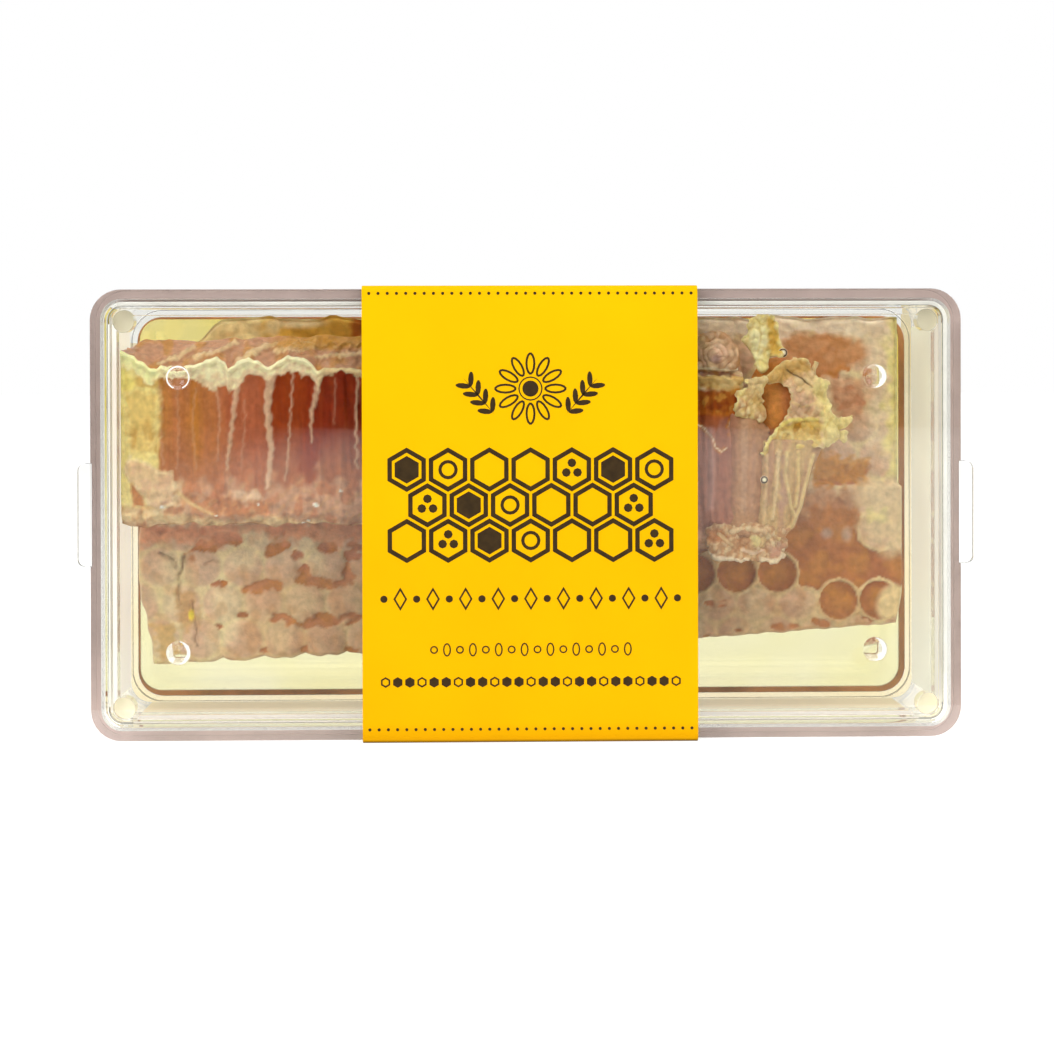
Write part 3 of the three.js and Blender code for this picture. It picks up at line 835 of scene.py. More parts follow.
def printed_marks():
    """The sleeve's print: a flower between sprigs over three rows of cells, rules of dots and small marks."""
    shapes = [mark(20, *FLOWER_AT, 1.0), mark(20, *FLOWER_AT, 1.5, ring=0.16)]
    for i in range(12):
        way = i * math.pi / 6
        at = (FLOWER_AT[0] + math.cos(way) * 3.1, FLOWER_AT[1] + math.sin(way) * 3.1)
        shapes.append(mark(14, *at, 1.4, 0.62, way, ring=0.26))
    for side in (-1, 1):
        shapes.append(mark(4, FLOWER_AT[0] + side * 6.4, FLOWER_AT[1] - 0.9, 3.0, 0.1, side * SPRIG_WAY))
        for i in range(4):
            root = (FLOWER_AT[0] + side * (4.7 + 0.9 * i), FLOWER_AT[1] - 2.9 + 1.05 * i)
            for way in (SPRIG_WAY + 0.75, SPRIG_WAY - 0.75):
                at = (root[0] + side * math.cos(way) * 0.95, root[1] + math.sin(way) * 0.95)
                shapes.append(mark(10, *at, 0.95, 0.34, side * way))
    for row, z in enumerate(BAND_Z):
        count = 7 - row % 2
        for column in range(count):
            x = PRINT_X + (column - (count - 1) / 2) * HEX_PITCH
            shapes.append(mark(6, x, z, HEXAGON * 0.93, ring=0.55))
            kind = (column * 2 + row * 3) % 5
            if kind == 0:
                shapes.append(mark(6, x, z, HEXAGON * 0.58))
            elif kind == 2:
                shapes.append(mark(16, x, z, 1.2, ring=0.4))
            elif kind == 3:
                for i in range(3):
                    way = math.pi / 2 + i * math.tau / 3
                    shapes.append(mark(8, x + math.cos(way) * 0.8, z + math.sin(way) * 0.8, 0.55))
    for i in range(19):
        x = PRINT_X + (i - 9) * 2.02
        if i % 2:
            shapes.append(mark(4, x, 17.9, 0.85, 1.45, ring=0.22))
        else:
            shapes.append(mark(12, x, 17.9, 0.45))
    for i in range(16):
        shapes.append(mark(12, PRINT_X + (i - 7.5) * 1.6, 11.6, 0.5, 0.85 if i % 2 else 0.5, ring=0.17))
    for i in range(25):
        x = PRINT_X + (i - 12) * 1.5
        shapes.append(mark(6, x, 7.6, 0.66, ring=0 if i % 3 else 0.2))
    for z in (SLEEVE[2] + 1.75, SLEEVE[5] - 1.0):
        for i in range(36):
            shapes.append(mark(8, PRINT_X + (i - 17.5) * 1.14, z, 0.2))
    deselect()
    for shape in shapes:
        shape.select_set(True)
    bpy.context.view_layer.objects.active = shapes[0]
    bpy.ops.object.join()
    marks = settle(bpy.context.object, "printed_marks")
    return apply_modifier(marks, "SOLIDIFY", thickness=INK_THICK * MM, offset=0)


# ---- shaping and painting the comb ----

def points(obj):
    """The places of obj's points in millimetres, one row each."""
    flat = np.empty(len(obj.data.vertices) * 3)
    obj.data.vertices.foreach_get("co", flat)
    return flat.reshape(-1, 3) / MM


def place(obj, x, y, z):
    """Puts obj's points at new places, in millimetres."""
    obj.data.vertices.foreach_set("co", (np.stack((x, y, z), axis=1) * MM).ravel())
    obj.data.update()


def grid(name, columns, rows):
    """A flat grid to be shaped, with each of its points' share of the way across and up."""
    deselect()
    bpy.ops.mesh.primitive_grid_add(x_subdivisions=columns, y_subdivisions=rows, size=2)
    obj = bpy.context.object
    obj.name = obj.data.name = name
    across, up, _ = (points(obj) * MM / 2 + 0.5).T
    return obj, across, up


def smooth(low, high, value):
    """0 below low, 1 above high and a soft step between, also where low is the higher."""
    share = np.clip((value - low) / (high - low), 0, 1)
    return share * share * (3 - 2 * share)


def mixed(a, b, share):
    """From a to b by a share."""
    return a + (b - a) * share


def waves(a, b, size, seed, octaves=2):
    """Soft noise of about -1 to 1 over two coordinates, its lumps about size wide."""
    rng = np.random.default_rng(seed)
    total = np.zeros_like(a)
    for octave in range(octaves):
        for _ in range(WAVES):
            way, start = rng.uniform(0, 2 * math.pi, 2)
            pace = math.pi / size * 2 ** octave * rng.uniform(0.7, 1.3)
            total += np.sin((a * math.cos(way) + b * math.sin(way)) * pace + start) / 2 ** octave
    return total / WAVES_SPAN


WAVES = 7
WAVES_SPAN = 3.0


def luck(column, row, seed):
    """A number from 0 to 1 that belongs to a cell."""
    return np.mod(np.sin(column * 12.99 + row * 78.23 + seed * 3.7) * 4375.85, 1)


def nearest_cell(x, z, look, shift=0.0):
    """From the middle of each point's cell: the way across, the way up, and the cell's numbers."""
    row_pitch = look.pitch * ROW_SHARE
    best = [np.full_like(x, 1e9)] + [np.zeros_like(x) for _ in range(4)]
    first = np.round((z - look.cell_z) / row_pitch)
    for step in (-1, 0, 1):
        row = first + step
        offset = np.mod(row, 2) / 2 + shift
        column = np.round((x - look.cell_x) / look.pitch - offset)
        across = x - look.cell_x - (column + offset) * look.pitch
        up = z - look.cell_z - row * row_pitch
        reach = across ** 2 + up ** 2
        nearer = reach < best[0]
        for old, new in zip(best, (reach, across, up, column, row)):
            old[nearer] = new[nearer]
    return best[1:]


ROW_SHARE = math.sqrt(3) / 2


def spots(x, z, ovals, edge=0.3):
    """How strongly soft ovals (middle x, z, half width, half height, turn, strength) cover each point."""
    cover = np.zeros_like(x)
    for middle_x, middle_z, wide, high, turn, strength in ovals:
        c, s = math.cos(math.radians(turn)), math.sin(math.radians(turn))
        dx, dz = x - middle_x, z - middle_z
        reach = np.hypot((dx * c - dz * s) / wide, (dx * s + dz * c) / high)
        cover = np.maximum(cover, strength * (1 - smooth(1 - edge, 1 + edge, reach)))
    return cover


def line_reach(x, z, line):
    """How far each point is from a line of (x, z) corners, and its share of the way along."""
    reach, along, _, _ = nearest_on(x, z, line)
    return reach, along


def nearest_on(x, z, line):
    """The distance of each point to a line, its share of the way along, and the nearest place on it."""
    best = np.full_like(x, 1e9)
    along, near_x, near_z = np.zeros_like(x), np.zeros_like(x), np.zeros_like(x)
    for i, ((ax, az), (bx, bz)) in enumerate(zip(line, line[1:])):
        span = (bx - ax) ** 2 + (bz - az) ** 2
        share = np.clip(((x - ax) * (bx - ax) + (z - az) * (bz - az)) / span, 0, 1)
        on_x, on_z = ax + share * (bx - ax), az + share * (bz - az)
        reach = np.hypot(x - on_x, z - on_z)
        nearer = reach < best
        for old, new in ((best, reach), (along, (i + share) / (len(line) - 1)), (near_x, on_x),
                         (near_z, on_z)):
            old[nearer] = new[nearer]
    return best, along, near_x, near_z


def stroke(x, z, line, wide_start, wide_end, soft=0.2):
    """How strongly a line that narrows from one width to another covers each point."""
    reach, along = line_reach(x, z, line)
    half = mixed(wide_start, wide_end, along) / 2
    return 1 - smooth(half - soft / 2, half + soft / 2, reach)


def tinted(base, code, mask):
    """Blends a colour into base where the mask is."""
    return base + (np.array(linear(code)[:3]) - base) * np.clip(mask, 0, 1)[:, None]


def layered(tint, *layers):
    """Blends colours into tint one after another, each where its mask is."""
    for code, mask in layers:
        tint = tinted(tint, code, mask)
    return tint


def flat_tint(count, code):
    """The same colour at every point."""
    return np.tile(np.array(linear(code)[:3]), (count, 1))


def paint(obj, tint, wet):
    """Keeps each point's colour and how wet with honey it is, for the material to read."""
    count = len(obj.data.vertices)
    colours = obj.data.color_attributes.new("tint", "FLOAT_COLOR", "POINT")
    lit = np.clip(tint * WAX_LIGHT, 0, 1)
    colours.data.foreach_set("color", np.column_stack((lit, np.ones(count))).ravel())
    wetness = obj.data.attributes.new("wet", "FLOAT", "POINT")
    wetness.data.foreach_set("value", np.clip(wet, 0, 1))


WAX_LIGHT = np.array((1.2, 1.2, 1.17))


def patch(x, z, corners, soft=0.3, rough=0.25, seed=7):
    """How strongly a patch with the given (x, z) corners covers each point, with a soft uneven border."""
    depth = depth_inside(x, z, corners) + rough * waves(x, z, 0.9, seed)
    return smooth(-soft, soft, depth)


def depth_inside(x, z, corners):
    """How far inside a closed outline each point is; less than 0 outside."""
    reach, _ = line_reach(x, z, corners + corners[:1])
    inside = np.zeros(x.shape, bool)
    for (ax, az), (bx, bz) in zip(corners, corners[1:] + corners[:1]):
        if az != bz:
            inside ^= ((az > z) != (bz > z)) & (x < (bx - ax) * (z - az) / (bz - az) + ax)
    return np.where(inside, reach, -reach)


def close_back(obj, depth, steps):
    """Carries a sheet's border back in steps and closes it with one flat face."""
    activate(obj)
    bpy.ops.object.mode_set(mode="EDIT")
    bpy.ops.mesh.select_mode(type="EDGE")
    bpy.ops.mesh.select_all(action="SELECT")
    bpy.ops.mesh.region_to_loop()
    for _ in range(steps):
        bpy.ops.mesh.extrude_edges_move(
            TRANSFORM_OT_translate={"value": (0, depth / steps * MM, 0)}
        )
    bpy.ops.mesh.edge_face_add()
    bpy.ops.object.mode_set(mode="OBJECT")


def face_outward(obj):
    """Turns every face of a closed piece outward."""
    edit_whole(obj)
    bpy.ops.mesh.normals_make_consistent(inside=False)
    bpy.ops.object.mode_set(mode="OBJECT")
    bpy.ops.object.shade_smooth()


def comb_wax(name, grain_size):
    """Beeswax and honey: wax is soft and lets light sink in, wet places are glossy. The colour and the
    wetness come from the points; fine mottling and a pitted grain come from here."""
    material, tree, out = new_material(name)
    tint = add_node(tree, "ShaderNodeAttribute", attribute_name="tint")
    wet = add_node(tree, "ShaderNodeAttribute", attribute_name="wet")
    shade = add_node(
        tree, "ShaderNodeHueSaturation",
        {"Color": tint.outputs["Color"], "Value": uneven(tree, grain_size, 0.85, 1.16, 3.0)},
    )
    gloss = add_node(
        tree, "ShaderNodeMapRange", {"Value": wet.outputs["Fac"], 3: 0.5, 4: 0.16}
    )
    wax = add_node(
        tree, "ShaderNodeBsdfPrincipled",
        {
            "Base Color": shade.outputs[0], "Roughness": gloss.outputs[0], "IOR": 1.45,
            "Specular IOR Level": 0.1, "Normal": bumps(tree, grain_size / 3, 2.0, 0.6, 0.12),
            "Subsurface Weight": 0.15, "Subsurface Radius": (1.0, 0.5, 0.25), "Subsurface Scale": 0.0012,
        },
    )
    tree.links.new(wax.outputs[0], out.inputs["Surface"])
    return material


# ---- the comb slab ----

class HONEYCOMB_OT_comb_slab(bpy.types.Operator):
    """Builds the slab of comb: cells in front, cells behind, and the cut round its edge"""

    bl_idname = "honeycomb.comb_slab"
    bl_label = "Comb slab"

    def execute(self, context):
        look = context.scene.honeycomb_pack.comb
        wax = comb_wax("beeswax_comb_capped", 0.9)
        finish(slab_cells("comb_slab_front", look, True), wax, "capped_comb", "comb_slab")
        finish(slab_cells("comb_slab_back", look, False), wax, "capped_comb", "comb_slab")
        return {"FINISHED"}


MIDRIB = 5.0
LEDGE = 31.3
SLEEVE_COVER = (-19.0, 20.0)
RIM_STEPS = 10
ROUND_EDGE = 0.9
BACK_COARSER = 1.7
COVERED_COARSER = 3
BARE_REACH = 0.97
HONEY_WINDOWS = (
    (-44.4, 25.4, 4.6, 0.9, 0, 0.8), (-39.4, 24.3, 3.5, 1.3, -14, 1.3), (-42.9, 22.6, 1.3, 1, 30, 0.9),
    (-31.6, 24, 2.8, 1.2, -38, 1.1), (-29.3, 22.4, 0.8, 0.9, 0, 1.3), (-25.3, 23.8, 1.5, 1.3, -20, 1.1),
    (-22.1, 23, 1.4, 1.5, 0, 1.1), (-26, 19, 4.6, 0.8, 8, 1.2), (-28.4, 20.2, 1.2, 1.2, 0, 1.3),
    (-22.5, 20.5, 1.2, 1.3, 20, 1.1), (-33.7, 18.4, 2.8, 1, -8, 1.3), (-39.2, 18.8, 1.2, 0.5, 0, 1.2),
    (-36.4, 14.8, 0.8, 0.4, 0, 1.1), (-39.5, 13.4, 0.6, 0.4, 0, 0.9), (-31.1, 14.1, 2.3, 0.9, 18, 1.2),
    (-26.5, 14, 2.8, 1.2, 0, 1.3), (-22.6, 14.3, 1.8, 0.9, 0, 1.2), (-28.3, 10.4, 0.8, 0.6, 0, 0.8),
    (-22.3, 10.7, 1.2, 0.9, 0, 1.1), (-33.2, 10.3, 1.2, 0.4, 0, 0.8), (24.7, 16.4, 1.9, 0.9, 0, 1.2),
    (27.5, 12.8, 0.8, 0.6, 0, 0.9), (33.2, 13, 2.3, 0.6, 3, 1.1), (38.1, 13.5, 1.4, 0.6, 18, 1.3),
    (43.6, 13.7, 1.4, 0.6, 8, 1), (23.2, 12, 0.6, 0.8, 0, 0.9), (39.2, 28.4, 3.1, 1.5, 0, 0.8),
    (41.8, 27.8, 1.8, 1, 0, 0.7), (39.2, 48.5, 5.1, 2.1, 4, 1), (38.6, 49.1, 2.2, 1.3, 10, 1.3),
    (39.4, 45.9, 3.3, 1.3, 0, 1.1), (41.8, 42.5, 2.3, 1.9, 0, 1), (37.3, 46.8, 3.9, 1.8, 0, 0.9),
    (41.8, 33, 3.1, 1, 0, 1.3), (40.7, 31.7, 3.9, 0.5, 0, 1.3), (44.2, 33.4, 0.8, 1, 20, 1),
)
MERGED_CELLS = ((-1, 1), (0, 1), (1, 1), (-2, 2), (-1, 2), (0, 2))


def slab_left(z):
    """The slab's left edge, which slants in at the foot."""
    return SLAB[0] - 0.5 + 1.9 * smooth(20, 8, z) + 0.12 * waves(z, z * 0, 2.2, 31)


def slab_right(z):
    """The slab's right edge: the upper part stands further in."""
    return SLAB[3] + 0.3 - 0.6 * smooth(LEDGE - 0.3, LEDGE + 0.3, z) - 0.9 * smooth(18, 12, z)


def slab_bottom(x, look):
    """The slab's lower edge: the rounded caps of a row at the left, a clean cut at the right."""
    scallop = np.abs(np.sin(math.pi * (x - look.cell_x) / look.pitch))
    lobes = 0.55 * (1 - scallop ** 0.7) * smooth(20, -5, x)
    return np.interp(x, *np.array(SLAB_FOOT).T) + lobes + 0.1 * waves(x, x * 0, 1.6, 32)


SLAB_FOOT = ((-50, 8.35), (-46.9, 8.45), (-36.5, 8.9), (-29.6, 9.3), (22.4, 11.5), (32.5, 12.2),
             (44.2, 13.05), (50, 13.5))


def slab_top(x):
    """The slab's upper edge, low at the left corner."""
    low = smooth(-38.5, -42.5, x)
    return SLAB[5] - 0.3 - 3.0 * low + 0.2 * waves(x, x * 0, 3.0, 33)


def slab_grid(name, look, front):
    """A grid over one side of the slab: its points' x and z, and how far in from the edge they are."""
    fine = 1 if front else BACK_COARSER
    sides = [
        round((SLEEVE_COVER[0] - SLAB[0]) / look.grain / fine),
        round((SLEEVE_COVER[1] - SLEEVE_COVER[0]) / look.grain / fine / COVERED_COARSER),
        round((SLAB[3] - SLEEVE_COVER[1]) / look.grain / fine),
    ]
    rows = round((SLAB[5] - SLAB[2]) / look.grain / fine)
    obj, across, up = grid(name, sum(sides), rows)
    stops = np.cumsum([0] + sides) / sum(sides)
    x = nominal = np.interp(across, stops, (SLAB[0], *SLEEVE_COVER, SLAB[3]))
    for _ in range(2):
        bottom, top = slab_bottom(x, look), slab_top(x)
        z = mixed(bottom, top, up)
        left, right = slab_left(z), slab_right(z)
        x = nominal + (left - SLAB[0]) * smooth(8, 0, nominal - SLAB[0])
        x += (right - SLAB[3]) * smooth(8, 0, SLAB[3] - nominal)
    return obj, x, z, np.minimum.reduce((x - left, right - x, z - bottom, top - z))


def slab_cells(name, look, front):
    """One side of the slab: its cells from the midrib out, as one closed piece."""
    obj, x, z, edge = slab_grid(name, look, front)
    rounded = ROUND_EDGE * (1 - np.sqrt(1 - (1 - np.clip(edge / ROUND_EDGE, 0, 1)) ** 2))
    if front:
        sheet = mixed(SLAB[1] + 0.5, SLAB[1] + 1.6, smooth(LEDGE - 0.4, LEDGE + 0.6, z))
        y = sheet + rounded + slab_relief(x, z, look) * smooth(0, 0.5, edge)
        edge_y = SLAB[1] + 1.4
    else:
        y = SLAB[4] - 0.5 - rounded - slab_relief(-x, z, look, False) * smooth(0, 0.5, edge)
        edge_y = SLAB[4] - 0.5 - ROUND_EDGE
    y[edge < 0.01] = edge_y
    place(obj, x, y, z)
    close_back(obj, MIDRIB - edge_y, RIM_STEPS)
    rim = np.arange(len(obj.data.vertices)) >= len(x)
    x, y, z = points(obj).T
    depth = np.where(rim, (y - edge_y) / (MIDRIB - edge_y), 0)
    dx, dz, _, _ = nearest_cell(x, z, look)
    wall = cell_wall(dx, dz, look)
    x, z = carved_rim(x, y, z, depth, wall, look)
    place(obj, x, y, z)
    tint, wet = slab_paint(x, z, look, front)
    cut_wax = np.maximum.reduce((smooth(0.82, 0.95, wall), smooth(0.1, 0, depth), smooth(0.9, 1, depth)))
    cut = tinted(flat_tint(len(x), "#b27430"), "#d9c08a", cut_wax)
    paint(obj, np.where(rim[:, None], cut, tint), np.where(rim, 1 - cut_wax, wet))
    face_outward(obj)
    return obj


def carved_rim(x, y, z, depth, wall, look):
    """The x and z of the slab's points, with those of its cut rim drawn in where a cell is hollow."""
    hollow = 0.35 * (1 - smooth(0.75, 1, wall)) + 0.12 * waves(x + z, y, 0.9, 35)
    hollow *= np.sin(math.pi * np.clip(depth, 0, 1))
    sides = (x - slab_left(z), x - slab_right(z), z - slab_bottom(x, look), z - slab_top(x))
    nearest = np.argmin(np.abs(np.stack(sides)), axis=0)
    return x + hollow * np.choose(nearest, (1, -1, 0, 0)), z + hollow * np.choose(nearest, (0, 0, 1, -1))


def cell_wall(dx, dz, look):
    """How near the wall of its hexagonal cell each point is: 0 in the middle, 1 on the wall."""
    slanted = np.abs(dx) / 2 + np.abs(dz) * ROW_SHARE
    return np.maximum(np.abs(dx), slanted) / (look.pitch / 2)


def cell_places(cells, look):
    """Where the middles of numbered cells are."""
    for column, row in cells:
        x = look.cell_x + (column + row % 2 / 2) * look.pitch
        yield x, look.cell_z + row * look.pitch * ROW_SHARE


ROW_SAG = 1.0


def slab_state(x, z, look, front):
    """For each point: how much cap wax, honey and rim there is, and how round its cell's cap stands."""
    if front:
        z = z + ROW_SAG * smooth(38.5, 35.5, x) * smooth(10, 14, x) * smooth(15.5, 17.5, z)
    dx, dz, column, row = nearest_cell(x, z, look)
    reach = np.hypot(dx, dz) / (look.pitch / 2)
    chance = luck(column, row, 1)
    ragged = 0.07 * waves(x, z, 1.1, 41)
    cap = 1 - smooth(0.78, 1.0, reach + ragged - 0.10 * chance)
    if front:
        window = spots(x, z, HONEY_WINDOWS, 0.35) * (1 + 0.35 * waves(x, z, 1.5, 42))
        bare = (row == 0) & ((column == 0) | (column == 1))
        bare |= (row == 1) & (column >= -5)
        bare |= (row == 2) & (column >= -2) & (column <= 0)
        merged = np.zeros_like(bare)
        for one in MERGED_CELLS:
            merged |= (column == one[0]) & (row == one[1])
        covered = spots(x, z, ((47, 27.5, 2.6, 5, 0, 1.3), (44.5, 30, 2.4, 2, 0, 1.2)), 0.3)
        half_cap = spots(x, z, ((47.2, 16.0, 1.7, 2.3, 20, 1.2),), 0.25)
    else:
        window = smooth(0.1, 0.7, waves(x, z, 3.2, 43)) * 1.2
        bare = luck(column, row, 2) > 0.93
        merged = np.zeros_like(bare)
        covered = half_cap = np.zeros_like(x)
    others = np.full_like(x, 9.0)
    for near_x, near_z in cell_places([(c, 0) for c in range(-2, 3)] + [(-2, 1), (-3, 2), (1, 2)], look):
        others = np.minimum(others, np.hypot(x - near_x, z - near_z) / (look.pitch / 2))
    open_cell = np.where(merged, smooth(1.05, 1.12, others), 1 - smooth(BARE_REACH - 0.06, BARE_REACH, reach))
    open_cell = np.where(bare, open_cell, 0) * (1 - np.clip(covered, 0, 1)) * (1 - np.clip(half_cap, 0, 1))
    rim = np.where(bare, 1 - open_cell, 0) * (1 - np.clip(covered, 0, 1))
    gap = smooth(0.3, 0.7, window - 0.62 * cap * (window < 1.25)) * (1 - bare)
    return reach, cap, gap, open_cell, rim, chance


def slab_relief(x, z, look, front=True):
    """How far back the surface stands: caps swell out, honey lies in, rims stand proud."""
    reach, _, gap, open_cell, rim, chance = slab_state(x, z, look, front)
    swell = -(0.30 + 0.16 * chance) * np.clip(1 - reach ** 2, 0, 1) * (1 - open_cell)
    flat = 1 - 0.8 * spots(x, z, FLAT_PLACES, 0.5) if front else 1.0
    swell = swell * flat
    pool = open_cell * (0.55 - 0.25 * smooth(0.55, 0.93, reach))
    broad = 0.22 * waves(x, z, 8.0, 44, 1) + 0.07 * waves(x, z, 1.3, 45)
    cracks = 0.0
    if front:
        for line, wide, _ in CRACKS:
            cracks = cracks + 0.5 * stroke(x, z, line, wide * 1.6, wide * 0.8, 0.35)
    return swell + 0.32 * gap * flat + pool - 0.22 * rim + broad + cracks


CRACKS = (
    (((-43.9, 22.4), (-44, 21.2), (-44.5, 20.1), (-44.3, 19), (-44.6, 18), (-44.4, 16.4)), 0.28, 0.75),
    (((-42.8, 16.6), (-42.6, 14.9), (-42.2, 13.6), (-42.4, 12.2), (-42.1, 10.9)), 0.25, 0.6),
    (((-46.9, 22.9), (-45.6, 22.3), (-44.9, 21.6), (-44.9, 20.9)), 0.2, 0.6),
    (((-41.1, 21.5), (-40.2, 22), (-39.2, 21.8)), 0.2, 0.5),
)


def slab_paint(x, z, look, front):
    """Colours of the slab's caps, rims and honey."""
    reach, cap, gap, open_cell, rim, _ = slab_state(x, z, look, front)
    mauve = smooth(-0.6, 0.9, waves(x, z, 4.0, 51) + 0.6 * (cap - 0.5))
    tint = layered(
        flat_tint(len(x), "#d6c09a"),
        ("#cba68a", mauve * 0.8),
        ("#dccb98", smooth(0.8, 1.05, reach) * (1 - gap) * 0.6),
        ("#c29468", 0.4 * smooth(0.2, 0.9, waves(x, z, 2.4, 52))),
    )
    fire = smooth(-0.4, 0.8, waves(x, z, 3.0, 53))
    honey = tinted(flat_tint(len(x), "#bb7950"), "#bc7a38", fire)
    amount = np.clip(gap, 0, 1)
    tint = tint + (honey - tint) * amount[:, None]
    pool = tinted(flat_tint(len(x), "#b67a3e"), "#a8683c", smooth(0.2, 0.9, reach))
    pool = tinted(pool, "#bd8238", 0.5 * smooth(0.2, 1, waves(x, z, 2.0, 54)))
    tint = tint + (pool - tint) * open_cell[:, None]
    tint = tinted(tint, "#d9bf8e", rim)
    if front:
        frayed = x + 0.15 * waves(x, z, 0.7, 60)
        for line, wide, strength in CRACKS:
            tint = tinted(tint, "#754c28", strength * stroke(frayed, z, line, wide, wide * 0.5, 0.3))
        for corners, code, strength, soft in SLAB_PATCHES:
            tint = tinted(tint, code, strength * patch(x, z, corners, soft, 0.35, 55))
        top_left = smooth(49, 50, z) * smooth(-17, -19, x)
        right = smooth(46.3, 47.6, x + 0.5 * waves(x, z, 1.6, 59)) * smooth(LEDGE, LEDGE + 2, z)
        tint = layered(
            tint,
            # Painted highlight: a small bright yellow glint on the lower left of the slab.
            ("#f1d24a", spots(x, z, ((-42.9, 14.9, 0.35, 0.7, 0, 1.0),), 0.4)),
            ("#e2d68a", right * 0.75),
            ("#d8cfc6", 0.35 * spots(x, z, WAX_BLOOM, 0.6)),
            ("#dcc48c", top_left),
            ("#c8962f", top_left * smooth(-35.0, -30.5, x + 1.2 * waves(x, z, 1.4, 57)) * 0.9),
            ("#a8581a", top_left * smooth(-23.5, -21.5, x + 0.8 * waves(x, z, 1.4, 58)) * 0.9),
            ("#dfcda0", spots(x, z, ((-29.3, 52.4, 3.2, 0.7, 0, 0.8),), 0.5)),
        )
    wet = np.clip(0.25 + 0.75 * np.maximum(amount, open_cell), 0, 1)
    return tint, wet


WAX_BLOOM = ((39, 25, 0.7, 0.6, 0, 1), (41.6, 24.9, 0.6, 0.9, 0, 1))
FLAT_PLACES = ((45.4, 26.8, 3.2, 4.4, 0, 1), (38.5, 48.3, 8, 4.2, 0, 1), (41.8, 42.6, 4, 3.6, 0, 1))
# The three orange patches at the left from z 23.4 to 26.8, just under the strip, are painted in pale tones:
# painted light that offsets the shade the strip casts on the slab there.
SLAB_PATCHES = (
    ([(33, 50.8), (38.5, 51.3), (43.5, 50), (44.5, 48), (42.5, 46.6), (37.5, 45.2), (33.5, 46)],
     "#c2895a", 0.9, 0.8),
    ([(39.5, 44.8), (43.5, 44.9), (44.8, 42.6), (43.5, 40.2), (40, 40.3)], "#c08c6a", 0.85, 0.8),
    ([(37.5, 35.8), (41, 34.8), (44.5, 34.6), (44.3, 31.3), (37, 31.3)], "#c88c34", 0.92, 0.4),
    ([(34, 30.6), (42, 30.4), (43.5, 27.5), (40, 25.8), (35, 26.4)], "#b98660", 0.8, 0.8),
    ([(36, 28.6), (43, 28.2), (43.6, 26.4), (37.5, 26)], "#b8763a", 0.85, 0.6),
    ([(20, 53.5), (47, 53.5), (47, 51), (43, 50.6), (36, 51.4), (33, 50.2), (20, 50.6)], "#ecd8bc", 0.9, 0.5),
    ([(-49, 26.5), (-20, 26.8), (-20, 25), (-36, 25.4), (-49, 24.4)], "#d08e64", 0.6, 0.5),
    ([(-48, 13.8), (-44.9, 13.8), (-44.8, 9.4), (-46.8, 9)], "#c9a468", 0.8, 0.5),
    ([(43.4, 31.5), (49, 31.8), (49, 22.6), (47.5, 22.4), (46.2, 24), (44.8, 23.8), (43.2, 26),
      (43.8, 28), (42.2, 29.4)], "#d2ba92", 0.9, 0.9),
    ([(43.6, 28.2), (46.4, 28), (47, 26.4), (44.6, 26.6)], "#d6c98a", 0.7, 0.5),
    ([(43, 51.6), (47.6, 51.6), (47.6, 36), (44.6, 36.4), (44.8, 41), (45.4, 44), (44, 46), (44.6, 49)],
     "#dfc9aa", 0.75, 0.8),
    ([(-44.8, 18.3), (-42.4, 18), (-42.1, 13.4), (-43.4, 12.8), (-44.6, 14)], "#bf935a", 0.7, 0.6),
    ([(-49.7, 26.4), (-37, 26.4), (-36.5, 24.6), (-41, 23.8), (-45.5, 24.4), (-49.7, 23.8)],
     "#d49068", 0.75, 0.6),
    ([(-34, 26.8), (-19, 26.8), (-19, 23.6), (-22, 24.4), (-25, 23.4), (-28, 24.9), (-31, 24.1),
      (-33.5, 25.2)], "#d48e64", 0.7, 0.6),
    ([(-36.5, 20.5), (-19, 20.5), (-19, 8.5), (-37, 9.5)], "#b5804a", 0.36, 1.5),
    ([(22, 32), (43.5, 31.5), (43.5, 16), (22, 16)], "#b8782c", 0.24, 1.5),
    ([(22, 16.2), (44.5, 16.2), (44.5, 10.5), (22, 10.5)], "#a4703c", 0.42, 1.2),
)


# ---- the upright strip ----

class HONEYCOMB_OT_comb_strip(bpy.types.Operator):
    """Builds the strip of comb that stands on edge in front, its cells cut along their length"""

    bl_idname = "honeycomb.comb_strip"
    bl_label = "Comb strip"

    def execute(self, context):
        look = context.scene.honeycomb_pack.comb
        wax = comb_wax("beeswax_comb_cut_open", 0.8)
        finish(strip_piece(look), wax, "cut_comb", "comb_strip")
        return {"FINISHED"}


END_COLUMNS = 14
ROUND_ROWS = 210
END_FINER = 1.15
STRIP_FRONT, STRIP_BACK = STRIP[1] + 0.9, STRIP[4] - 0.2
FRONT_FROM, LIP_FROM, TOP_TO = 0.13, 0.62, 0.88
LIP_TOP = (
    (-50.8, 48.9), (-49.1, 48.1), (-46.8, 46.5), (-44.4, 46.8), (-42.1, 46.8), (-39.8, 47.6),
    (-38.6, 47.9), (-37.6, 47.2), (-37.3, 46.4), (-36.2, 47.2), (-34.6, 47.8), (-33.2, 47.2),
    (-32.3, 46.5), (-31.3, 47.3), (-29.9, 48.1), (-28, 47.8), (-26.9, 47.2), (-26.2, 46.2), (-23.4, 46.7),
    (-20.4, 46.2), (-15, 46.9), (-10, 46.1), (-4, 46.9), (2, 46.2), (8, 46.8), (14, 46), (19, 45.9),
    (22, 45.5), (27.2, 45.3),
)
LIP_THICK = (
    (-50.8, 1.8), (-47, 2.1), (-46, 1.5), (-44, 1.5), (-41.6, 1.8), (-39.8, 3.2), (-38.8, 4.2),
    (-37.4, 2.6), (-36.2, 2.8), (-34, 1.9), (-32.5, 1.4), (-31.3, 1.6), (-29.9, 2.1), (-27, 1.7),
    (-26, 1.9), (-25.2, 0.6), (-20, 0.7), (19, 0.9), (22, 1.8), (27.2, 1.9),
)
